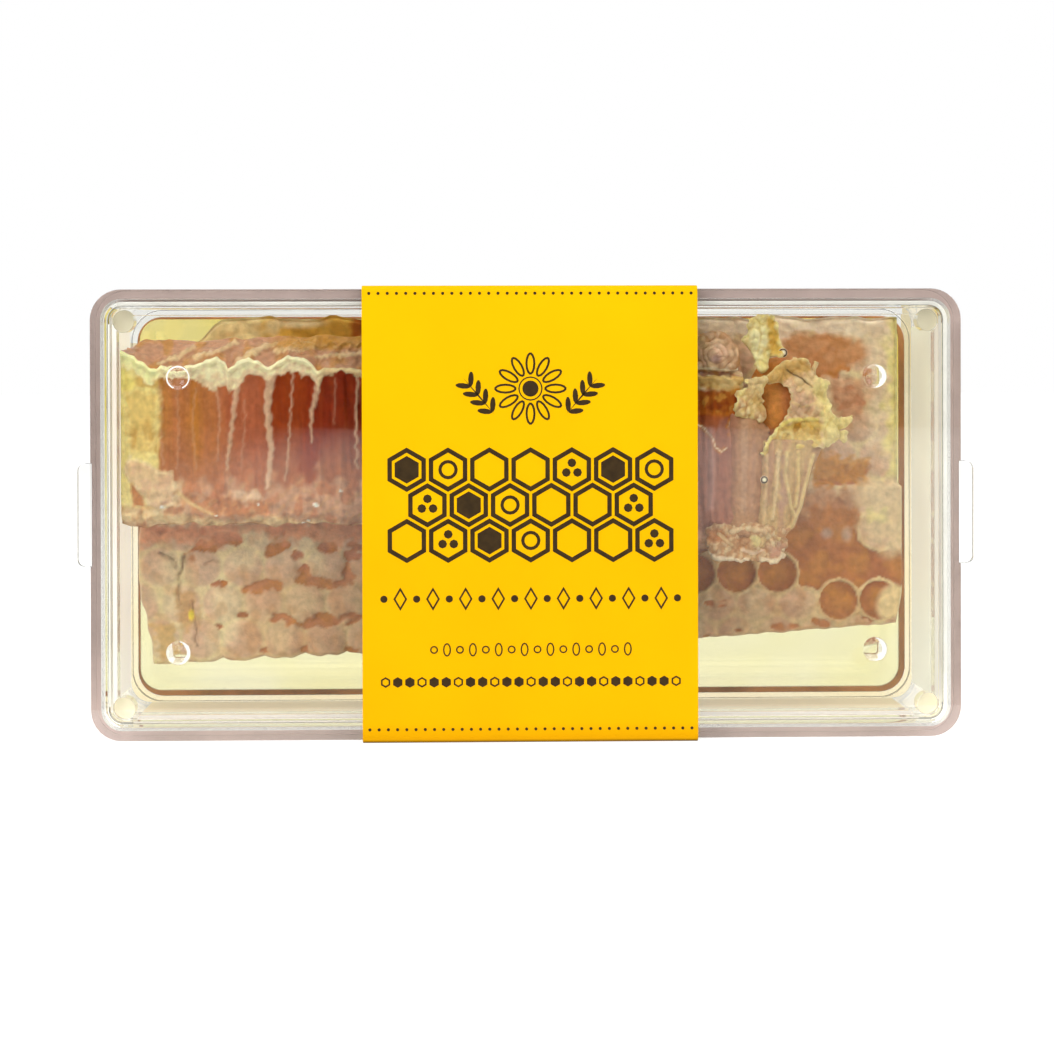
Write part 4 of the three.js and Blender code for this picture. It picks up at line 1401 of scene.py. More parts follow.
TUBE_WALLS = (
    (((-46, 46), (-45.5, 42.5), (-45.7, 38), (-45.4, 34.5)), 0.3, 0.2, 0.35),
    (((-43.6, 44.5), (-43.4, 40), (-43.7, 34)), 0.25, 0.2, 0.25),
    (((-41.4, 44), (-41.7, 40), (-41.4, 34)), 0.25, 0.2, 0.25),
    (((-38.8, 44), (-38.3, 40.5), (-38.6, 35)), 0.35, 0.2, 0.35),
    (((-36.2, 44.3), (-36.6, 41.5), (-36.9, 38), (-37.4, 33.9)), 0.7, 0.3, 0.75),
    (((-35.4, 42.5), (-35.3, 39.5), (-35.6, 34)), 0.2, 0.15, 0.3),
    (((-31.8, 45.5), (-32.2, 43.6), (-32.4, 41.9), (-32.3, 38.7), (-32, 36.4), (-32.3, 33), (-32.6, 31.6)),
     1.1, 0.5, 0.8),
    (((-29.2, 46), (-29.3, 42), (-29.8, 37), (-30.2, 32.5)), 0.22, 0.22, 0.65),
    (((-26.1, 45.6), (-26.4, 43.2), (-26.8, 41.2), (-26.9, 39.5), (-26.8, 37.2)), 0.75, 0.15, 0.8),
    (((-24, 45.2), (-24.2, 39.5)), 0.2, 0.15, 0.3),
    (((-21, 45.2), (-21.4, 41.5), (-21.4, 38.5), (-21.2, 34)), 0.3, 0.25, 0.8),
    (((24.2, 40), (24, 33), (23.8, 29)), 0.5, 0.6, 0.3),
)
CAP_LAYERS = (
    (((-46.1, 47.2), (-44, 47.9), (-42.1, 49.2)), 0.9, 0.8),
    (((-41.6, 47.9), (-39.3, 48.5), (-37.4, 49.4), (-36.7, 50)), 1.1, 0.8),
    (((-36.2, 47.4), (-34.1, 48.7), (-31.8, 49.8)), 1.1, 0.8),
    (((-31.6, 48.6), (-29.2, 49.3), (-26.6, 49.9)), 1.1, 0.8),
    (((-29.7, 48.5), (-26.9, 49.3), (-21, 49.4)), 0.45, 0.9),
    (((-26.4, 47.7), (-24.5, 48.1), (-20, 48.5)), 0.7, 0.8),
)
LEFT_FLAKE = [
    (-49.4, 35.4), (-47.3, 34.7), (-45.9, 33.5), (-44.4, 33.5), (-43.7, 31.3), (-44.4, 29.4),
    (-46.1, 28.7), (-47.3, 29.7), (-48.4, 31.1), (-49.4, 32.3), (-50.3, 33.9),
]
LOW_HONEY = [
    (-43.8, 31), (-40, 30.2), (-36, 30.6), (-32.5, 30), (-32.2, 28.4), (-36, 27.8), (-40, 28.2), (-43, 29.6),
]
LEFT_FRAME = [(-50.2, 43.2), (-49, 43.9), (-46.8, 43.9), (-46, 43.4), (-46.1, 38.5), (-46.8, 35.6),
              (-49.5, 36)]


def lip_height(x):
    """The lip's top: a low arch over each cell."""
    return np.interp(x, *np.array(LIP_TOP).T) + 0.10 * waves(x, x * 0, 0.7, 61)


def strip_foot(x):
    """The strip's lower edge."""
    return mixed(STRIP[2] + 4.4, STRIP[2] + 0.4, smooth(-18, 24, x)) + 0.25 * waves(x, x * 0, 2.4, 62)


def strip_section(x, around, foot, lip):
    """How deep and how high the strip's points stand, by their share of the way round its section."""
    head = mixed(50.2, 50.8, smooth(-38, -24, x)) + 0.25 * waves(x, x * 0, 3, 63)
    head = np.maximum(head - 1.3 * smooth(-48, STRIP[0], x) - 2.0 * smooth(18, 22, x), lip + 0.2)
    front, back = STRIP_FRONT, STRIP_BACK
    section = (
        (0.0, back, foot + 1.2), (0.025, back - 1.2, foot), (FRONT_FROM, front + 1.2, foot),
        (0.17, front, foot + 1.2), (LIP_FROM, front, lip - 0.9), (0.645, front - 0.25, lip - 0.35),
        (0.67, front + 0.1, lip), (0.70, front + 0.7, lip - 0.1), (TOP_TO, back - 1.2, head),
        (0.91, back, head - 1.2), (1.0, back, foot + 1.2),
    )
    stations = [part[0] for part in section]
    index = np.clip(np.searchsorted(stations, around, side="right") - 1, 0, len(section) - 2)
    share = (around - np.array(stations)[index]) / np.diff(stations)[index]
    every = np.arange(len(x))
    ways = [np.stack([np.broadcast_to(part[way], x.shape) for part in section]) for way in (1, 2)]
    return [mixed(at[index, every], at[index + 1, every], share) for at in ways]


def strip_piece(look):
    """The strip: a section carried along X, drawn together at both ends into rounded closed ends."""
    spans = (
        round((SLEEVE_COVER[0] - STRIP[0]) / look.grain * END_FINER),
        round((SLEEVE_COVER[1] - SLEEVE_COVER[0]) / look.grain / COVERED_COARSER),
        round((STRIP[3] - SLEEVE_COVER[1]) / look.grain * END_FINER),
    )
    columns = sum(spans) + 2 * END_COLUMNS
    stops = np.cumsum([0, END_COLUMNS, *spans, END_COLUMNS]) / columns
    obj, across, around = grid("comb_strip_piece", columns, ROUND_ROWS)
    x = np.interp(across, stops, (STRIP[0], STRIP[0], *SLEEVE_COVER, STRIP[3], STRIP[3]))
    ends = np.interp(across, (0, stops[1], stops[4], 1), (0, 1, 1, 0))
    foot, lip = strip_foot(x), lip_height(x)
    y, z = strip_section(x, around, foot, lip)
    middle_y, middle_z = (STRIP_FRONT + STRIP_BACK) / 2, (foot + lip) / 2
    bulge = np.sqrt(np.clip(1 - (1 - ends) ** 2, 0, 1))
    x += np.where(across < 0.5, 1, -1) * 1.5 * (1 - bulge) * (ends > 0)
    on_front = (around > FRONT_FROM) & (around < LIP_FROM)
    y = y + np.where(on_front, strip_relief(x, z, lip, foot), 0)
    on_top = (around >= LIP_FROM) & (around < TOP_TO)
    lift = np.where(on_top, 0.35 * layer_cover(x, z) + 0.12 * waves(x, y, 1.0, 64), 0)
    lift *= smooth(LIP_FROM, LIP_FROM + 0.06, around)
    z, y = z + lift * 0.7, y - lift * 0.9
    y = np.clip(middle_y + (y - middle_y) * bulge, STRIP[1] + 0.05, STRIP[4])
    z = middle_z + (z - middle_z) * (0.15 + 0.85 * bulge)
    closing = ends < 0.001
    y[closing], z[closing] = middle_y, middle_z[closing]
    x[closing] = np.where(across[closing] < 0.5, STRIP[0] + 0.9, STRIP[3] - 0.9)
    place(obj, x, y, z)
    paint(obj, *strip_paint(x, z, around, lip, foot))
    return closed_sheet(obj)


def wall_cover(x, z):
    """How strongly the pale walls between the cut cells show."""
    cover = np.zeros_like(x)
    frayed = x + 0.12 * waves(z, x * 0.2, 1.0, 85)
    for line, wide, narrow, strength in TUBE_WALLS:
        cover = np.maximum(cover, strength * stroke(frayed, z, line, wide, narrow, 0.35))
    return cover


def layer_cover(x, z):
    """How strongly the torn edges of the capping layers stand out on the slope behind the lip."""
    cover = np.zeros_like(x)
    wobble = z + 0.22 * waves(x, z, 0.9, 65) + 0.12 * waves(x, z, 2.5, 84)
    for line, wide, strength in CAP_LAYERS:
        reach, _ = line_reach(x, wobble, line)
        cover = np.maximum(cover, strength * (1 - smooth(0.1, 1.1, reach / wide * 2)))
    far = smooth(0.55, 0.85, np.sin((x * 0.35 + z) * 2.3 + 0.8 * waves(x, z, 3.0, 66))) * 0.6
    return np.maximum(cover, far * (x > SLEEVE_COVER[0]))


def strip_relief(x, z, lip, foot):
    """How far back the strip's front stands: tubes bulge, walls stand proud, torn places are hollow."""
    walls = wall_cover(x, z)
    tubes = 0.22 * np.abs(np.sin(math.pi * x / 2.9 + 0.25 * waves(x, z, 3.0, 67)))
    streaks = 0.10 * waves(x, z * 0.12, 0.5, 68)
    low = smooth(6.0, 3.0, z - foot)
    crumbs = low * (0.22 * waves(x, z, 1.5, 69) + 0.07 * waves(x, z, 0.5, 70))
    hollow = 0.5 * smooth(3.0, 0.8, lip - z)
    return tubes + streaks - 0.35 * walls + crumbs + 0.25 - hollow * 0.6 - 0.4 * flap_cover(x, z)


def flap_cover(x, z):
    """How strongly the torn wax flake at the left end shows."""
    return patch(x, z, LEFT_FLAKE, 0.15, 0.15, 71)


def strip_paint(x, z, around, lip, foot):
    """Colours of the strip, and how wet it is: pale wax is dry and all the rest is wet with honey."""
    fine = waves(x, z, 0.8, 86)
    tint = paint_left_end(paint_tubes(x, z, foot, fine), x, z, fine)
    tint, creamy = paint_lip(tint, x, z, around, lip, fine)
    slope = (around >= 0.69) & (around < 0.9)
    cover = layer_cover(x, z)
    tint = np.where(slope[:, None], paint_layers(x, z, cover), tint)
    behind = (around >= 0.9) | (around < FRONT_FROM)
    rear = tinted(flat_tint(len(x), "#cfae78"), "#b07040", smooth(-0.1, 0.8, waves(x, z, 2.2, 80)))
    tint = paint_right_end(np.where(behind[:, None], rear, tint), x, z, around)
    pale = np.maximum.reduce((creamy, wall_cover(x, z), cover * slope))
    return tint, np.clip(0.95 - 0.8 * pale, 0, 1)


def paint_tubes(x, z, foot, fine):
    """Colours of the cut tubes full of honey, with pale walls between them and torn wax at their foot."""
    streak = waves(x, z * 0.1, 0.6, 72)
    broad = waves(x, z * 0.3, 2.5, 73)
    fade = smooth(13.0, 5.0, z - foot + 1.5 * broad)
    band = smooth(6.4, 3.4, z - foot + 1.1 * waves(x, z, 1.8, 74))
    brown = smooth(0.15, 0.8, waves(x, z, 1.9, 75)) * smooth(8.5, 5, z - foot)
    ledge = ((-51, 28), (-44.4, 27.8), (-38.3, 26.9), (-30.4, 27.2), (-23.4, 26.2), (-19, 26))
    return layered(
        flat_tint(len(x), "#b98040"),
        ("#b37040", smooth(-46.0, -44.0, x + 0.5 * streak)),
        ("#b5762c", 0.7 * spots(x, z, ((-41.5, 39.0, 0.9, 6.0, 0, 1.0),), 0.7)),
        ("#a85c3c", smooth(-39.6, -37.0, x + 0.3 * streak)),
        ("#8e370e", smooth(-32.9, -31.8, x + 0.1 * streak)),
        ("#82290c", smooth(-28.4, -26.6, x + 0.3 * streak)),
        ("#b0704c", 0.3 * smooth(0.1, 1, streak) * smooth(-33, -36, x)),
        ("#9a4418", 0.3 * smooth(0.3, 1, streak) * smooth(-36, -33, x)),
        ("#aa6c46", 0.7 * fade),
        ("#c49878", 0.85 * band),
        ("#dcbd92", 0.8 * band * smooth(-41.5, -44.0, x)),
        ("#b7733f", 0.8 * patch(x, z, LOW_HONEY, 0.6, 0.5, 94)),
        ("#b9754a", 0.75 * brown),
        ("#dfc2a0", 0.7 * patch(x, z, FOOT_CRUMB, 0.4)),
        ("#dcbf86", 0.85 * stroke(x, z, ((-43.7, 31.1), (-42.1, 29.7), (-39.3, 28.3)), 0.5, 0.3, 0.4)),
        ("#dfc493", 0.85 * stroke(x, z + 0.3 * waves(x, x * 0, 1.5, 76), ledge, 1.3, 1.1, 0.9)),
        ("#c89868", 0.5 * smooth(0.2, 0.9, fine) * band),
        ("#d0b090", wall_cover(x, z)),
    )


def paint_left_end(tint, x, z, fine):
    """Adds the pale frame and the torn flake at the strip's left end."""
    left = smooth(-45.7, -46.3, x + 0.25 * waves(x, z, 2.2, 83)) * smooth(28.5, 30, z)
    frame = patch(x, z, LEFT_FRAME, 0.5, 0.45, 87)
    edge_line, _ = line_reach(x, z, LEFT_FRAME + LEFT_FRAME[:1])
    flake = flap_cover(x, z)
    flake_line, _ = line_reach(x, z, LEFT_FLAKE + LEFT_FLAKE[:1])
    return layered(
        tint,
        ("#e8d68e", left * 0.95),
        ("#d3b064", frame * 0.6),
        ("#c2964e", frame * smooth(-0.1, 0.7, waves(x, z * 0.3, 1.1, 77)) * 0.75),
        ("#e6d692", 0.45 * smooth(0.55, 0.1, edge_line + 0.3 * fine) * (z > 35.0)),
        ("#c2964a", 0.7 * patch(x, z, [(-49.2, 45.5), (-46.2, 45.6), (-45.8, 44.2), (-49, 44)], 0.35)),
        ("#d6b68e", flake * 0.9),
        ("#cfa888", flake * 0.6 * smooth(0.0, 0.8, waves(x, z, 1.1, 95))),
        ("#e6d2a6", 0.5 * smooth(0.35, 0.05, flake_line + 0.2 * fine)),
        ("#b9703c", 0.9 * patch(x, z, FLAKE_SHADE, 0.2, 0.1)),
        ("#e4d27a", 0.95 * spots(x, z, FRAME_SPOTS, 0.4)),
    )


def paint_lip(tint, x, z, around, lip, fine):
    """Adds the creamy lip, with painted shade that turns it tan further down from its top, and tells where it
    is.
    """
    thick = np.interp(x, *np.array(LIP_THICK).T)
    edge = lip - z - 0.16 * waves(x, z, 0.6, 78) - 0.2 * waves(x, z, 1.6, 81)
    creamy = smooth(thick + 0.25, thick - 0.3, edge) * (around > 0.2) * (around < 0.705)
    tint = layered(
        tint,
        ("#e9e0b6", creamy),
        # Painted shade: tan further down from the lip's top edge.
        ("#d9bd98", creamy * 0.8 * smooth(0.35, 0.9, edge / np.maximum(thick, 0.1) + 0.3 * fine)),
        ("#cdb07c", creamy * 0.7 * smooth(-26.5, -25.5, x) * (x < 19)),
        ("#f2ecac", creamy * 0.8 * smooth(-44.0, -47.0, x)),
    )
    return tint, creamy


def paint_layers(x, z, cover):
    """Colours of the torn layers of capping on the slope behind the lip, with painted shade just under each
    layer's edge.
    """
    return layered(
        flat_tint(len(x), "#b88a6c"),
        ("#b98650", smooth(-0.2, 0.9, waves(x, z, 2.0, 79))),
        # Painted shade: darker just under the edge of each layer.
        ("#a06e4a", 0.7 * layer_cover(x, z + 0.55) * (1 - cover)),
        ("#d8bf94", np.clip(cover, 0, 1)),
        ("#b5812e", 0.8 * smooth(-34, -29, x) * smooth(48.6, 49.6, z + 0.3 * waves(x, z, 1.5, 96))),
    )


def paint_right_end(tint, x, z, around):
    """Adds the amber honey with painted golden highlights, its drips with painted highlights along their
    edges, and the painted glints at the strip's right end and foot.
    """
    amber = 0.95 * patch(x, z, AMBER_POOL, 0.5, 0.4, 89)
    tint = layered(
        tint,
        ("#bd954e", 0.9 * patch(x, z, RIGHT_LIP, 0.4, 0.3, 88) * (around < 0.7)),
        ("#d3b880", 0.8 * patch(x, z, LIP_PALE, 0.5, 0.3, 97)),
        ("#a2581a", amber),
        ("#84380a", 0.8 * amber * smooth(-0.1, 0.6, waves(x, z, 1.3, 98))),
        # Painted highlights: golden spots in the amber honey.
        ("#c48a3a", 0.8 * amber * smooth(0.5, 0.9, waves(x, z, 0.9, 99))),
        ("#b4641c", 0.8 * stroke(x, z, AMBER_HEM, 0.7, 0.7, 0.5)),
        ("#a26c58", 0.9 * smooth(40.6, 39.6, z) * smooth(19, 21, x) * (around < 0.6) * smooth(25, 27, z)),
        ("#a4562a", 0.8 * patch(x, z, DRIP_SHADE, 0.3, 0.1)),
    )
    for line in DRIP_EDGES:
        tint = layered(
            tint,
            ("#b4702c", 0.9 * stroke(x, z, line, 0.55, 0.5, 0.2)),
            # Painted highlight: a thin bright line along the drip's edge.
            ("#f6e2c0", 0.9 * stroke(x - 0.12, z, line, 0.16, 0.16, 0.12)),
        )
    tint = layered(
        tint,
        ("#c49a90", 0.6 * stroke(x, z, ((23, 38.5), (23.1, 34), (23, 29)), 0.8, 0.8, 0.9)),
        ("#a8745c", 0.8 * patch(x, z, END_TUBES, 0.5, 0.3, 90) * (around < 0.6)),
    )
    # Painted highlights: small bright glints of wet honey.
    for at_x, at_z, size in WET_GLINTS:
        tint = tinted(tint, "#fff4e6", 0.95 * spots(x, z, ((at_x, at_z, size, size * 0.6, 20, 1.0),), 0.4))
    return tint


FOOT_CRUMB = [(-36.5, 31.2), (-34, 31.2), (-33, 30.2), (-35, 29.6), (-36.8, 30.2)]
FLAKE_SHADE = [(-49.5, 32.3), (-48, 30.6), (-47.8, 29.4), (-49.1, 29.2)]
FRAME_SPOTS = ((-49.8, 44.6, 1, 0.9, 0, 1), (-50.4, 46.5, 0.8, 1.6, 0, 0.7))
RIGHT_LIP = [(20, 46), (27.5, 46), (27.5, 43.4), (20, 43.6)]
LIP_PALE = [(23.5, 45.2), (26.4, 45), (26.2, 43.8), (24, 43.9)]
AMBER_POOL = [(20, 43.8), (26.5, 43.6), (26.3, 41.2), (24.5, 40.4), (22.5, 41), (20, 40.4)]
AMBER_HEM = ((20, 40.5), (22.5, 40.9), (24.5, 40.3), (26.5, 41.2))
DRIP_SHADE = [(20, 40.4), (24.6, 40.4), (24, 39), (23.4, 37.8), (22.4, 39), (20, 39.6)]
END_TUBES = [(25.2, 39.8), (28, 39.8), (28, 26), (25, 26)]
DRIP_EDGES = (
    ((20.4, 39.8), (22, 39), (23.2, 37.5), (23.5, 36.5), (24.2, 35.9), (24.9, 36.3)),
    ((26.2, 40.2), (25.8, 39.2), (25.4, 38)), ((25.5, 39.9), (25.2, 39)),
)
WET_GLINTS = (
    (-26.4, 29.4, 0.4), (-28, 27, 0.3), (-26.2, 26.7, 0.35), (-22.3, 25.8, 0.4),
    (-45.5, 29.2, 0.3), (-33.6, 29.5, 0.2), (-23.3, 31.2, 0.2), (-27.4, 27.4, 0.22), (-38.8, 28.1, 0.2),
)


# ---- the torn comb ----

class HONEYCOMB_OT_torn_comb(bpy.types.Operator):
    """Builds the torn end: a bundle of pale tubes, ragged flakes of wax, a curl and a wet hem"""

    bl_idname = "honeycomb.torn_comb"
    bl_label = "Torn comb"

    def execute(self, context):
        wax = comb_wax("beeswax_torn_thin", 0.6)
        finish(tube_bundle(), wax, "torn_comb", "torn_comb")
        finish(honey_cell(), wax, "torn_comb", "torn_comb")
        for piece in TORN_PIECES:
            finish(torn_piece(*piece), wax, "torn_comb", "torn_comb")
        finish(wax_curl(), wax, "torn_comb", "torn_comb")
        for i, bubble in enumerate(BUBBLES):
            finish(air_bubble(f"air_bubble_{i}", *bubble), wax, "torn_comb")
        return {"FINISHED"}


SEAM_REACH = 0.004


def closed_sheet(obj):
    """Joins the meeting edges of a wrapped grid and turns its faces outward."""
    edit_whole(obj)
    bpy.ops.mesh.remove_doubles(threshold=SEAM_REACH * MM)
    bpy.ops.object.mode_set(mode="OBJECT")
    face_outward(obj)
    return obj


def ragged(corners, step, rough, seed):
    """A closed outline with its sides split into short steps that wander a little."""
    rng = np.random.default_rng(seed)
    line = []
    for (ax, az), (bx, bz) in zip(corners, corners[1:] + corners[:1]):
        far = math.hypot(bx - ax, bz - az)
        parts = max(1, round(far / step))
        for i in range(parts):
            off = 0 if i == 0 else rng.normal() * rough
            line.append((ax + (bx - ax) * i / parts + off * (bz - az) / far,
                         az + (bz - az) * i / parts - off * (bx - ax) / far))
    return line


def cut_sheet(name, outline, grain):
    """A flat grid cut along an outline, with its border points drawn onto it."""
    corners = np.array(outline)
    low, high = corners.min(axis=0) - grain, corners.max(axis=0) + grain
    obj, across, up = grid(name, *(int(n) for n in (high - low) / grain))
    x, z = mixed(low[0], high[0], across), mixed(low[1], high[1], up)
    place(obj, x, x * 0, z)
    activate(obj)
    bpy.ops.object.mode_set(mode="EDIT")
    depth = depth_inside(x, z, outline)
    mesh = bmesh.from_edit_mesh(obj.data)
    bpy.ops.mesh.select_mode(type="FACE")
    for face in mesh.faces:
        face.select_set(bool(sum(depth[corner.index] for corner in face.verts) < 0))
    bmesh.update_edit_mesh(obj.data)
    bpy.ops.mesh.delete(type="FACE")
    bpy.ops.mesh.select_mode(type="EDGE")
    bpy.ops.mesh.select_all(action="SELECT")
    bpy.ops.mesh.region_to_loop()
    bpy.ops.object.mode_set(mode="OBJECT")
    border = np.empty(len(obj.data.vertices), bool)
    obj.data.vertices.foreach_get("select", border)
    x, _, z = points(obj).T
    reach, _, near_x, near_z = nearest_on(x, z, outline + outline[:1])
    return obj, np.where(border, near_x, x), np.where(border, near_z, z), np.where(border, 0, reach)


def torn_piece(name, corners, depth, thick, bow, pale, deep, rim, details, seed, tuck=0.0):
    """A torn piece of wax: a wavy sheet with a ragged outline and its own marks, ridges and hollows."""
    obj, x, z, edge = cut_sheet(name, ragged(corners, 0.35, 0.11, seed), 0.12)
    crinkle = waves(x, z, 0.5, seed + 8) * (tuck == 0)
    y = depth + bow * waves(x, z, 2.4, seed + 1) + 0.3 * bow * waves(x, z, 0.8, seed + 2) - 0.06 * crinkle
    y += 0.6 * bow * smooth(0.9, 0, edge) * waves(x, z, 1.3, seed + 3) + 0.18 * smooth(0.35, 0, edge)
    y += tuck * (smooth(26.6, 24.4, x) + 0.6 * smooth(28, 30.2, x))
    flecks = waves(x, z, 0.5, seed + 7) * (tuck == 0)
    tint = layered(
        flat_tint(len(x), pale),
        (deep, smooth(-0.2, 0.8, waves(x, z, 1.6, seed + 4))),
        ("#ecdcb0", 0.32 * smooth(0.35, 1.0, flecks)),
        ("#b08450", 0.26 * smooth(-0.35, -1.0, flecks)),
        ("#e6d6ae", 0.3 * smooth(0.2, 1.0, crinkle)),
    )
    for kind, shape, size, code, strength, raised in details:
        if kind == "patch":
            cover = strength * patch(x, z, shape, size, 0.2, seed + 5)
        else:
            cover = strength * stroke(x, z, shape, size, size * 0.6, 0.25)
        tint = tinted(tint, code, cover)
        y -= raised * cover
    tint = tinted(tint, "#e4d49a", rim * smooth(0.3, 0.05, edge))
    place(obj, x, np.maximum(y, STRIP[1] + thick / 2), z)
    paint(obj, tint, np.full_like(x, 0.45))
    apply_modifier(obj, "SOLIDIFY", thickness=thick * MM, offset=0)
    face_outward(obj)
    return obj


def circle(x, z, radius):
    """The corners of a round line."""
    return [(x + math.cos(i * math.tau / 14) * radius,
             z + math.sin(i * math.tau / 14) * radius) for i in range(15)]


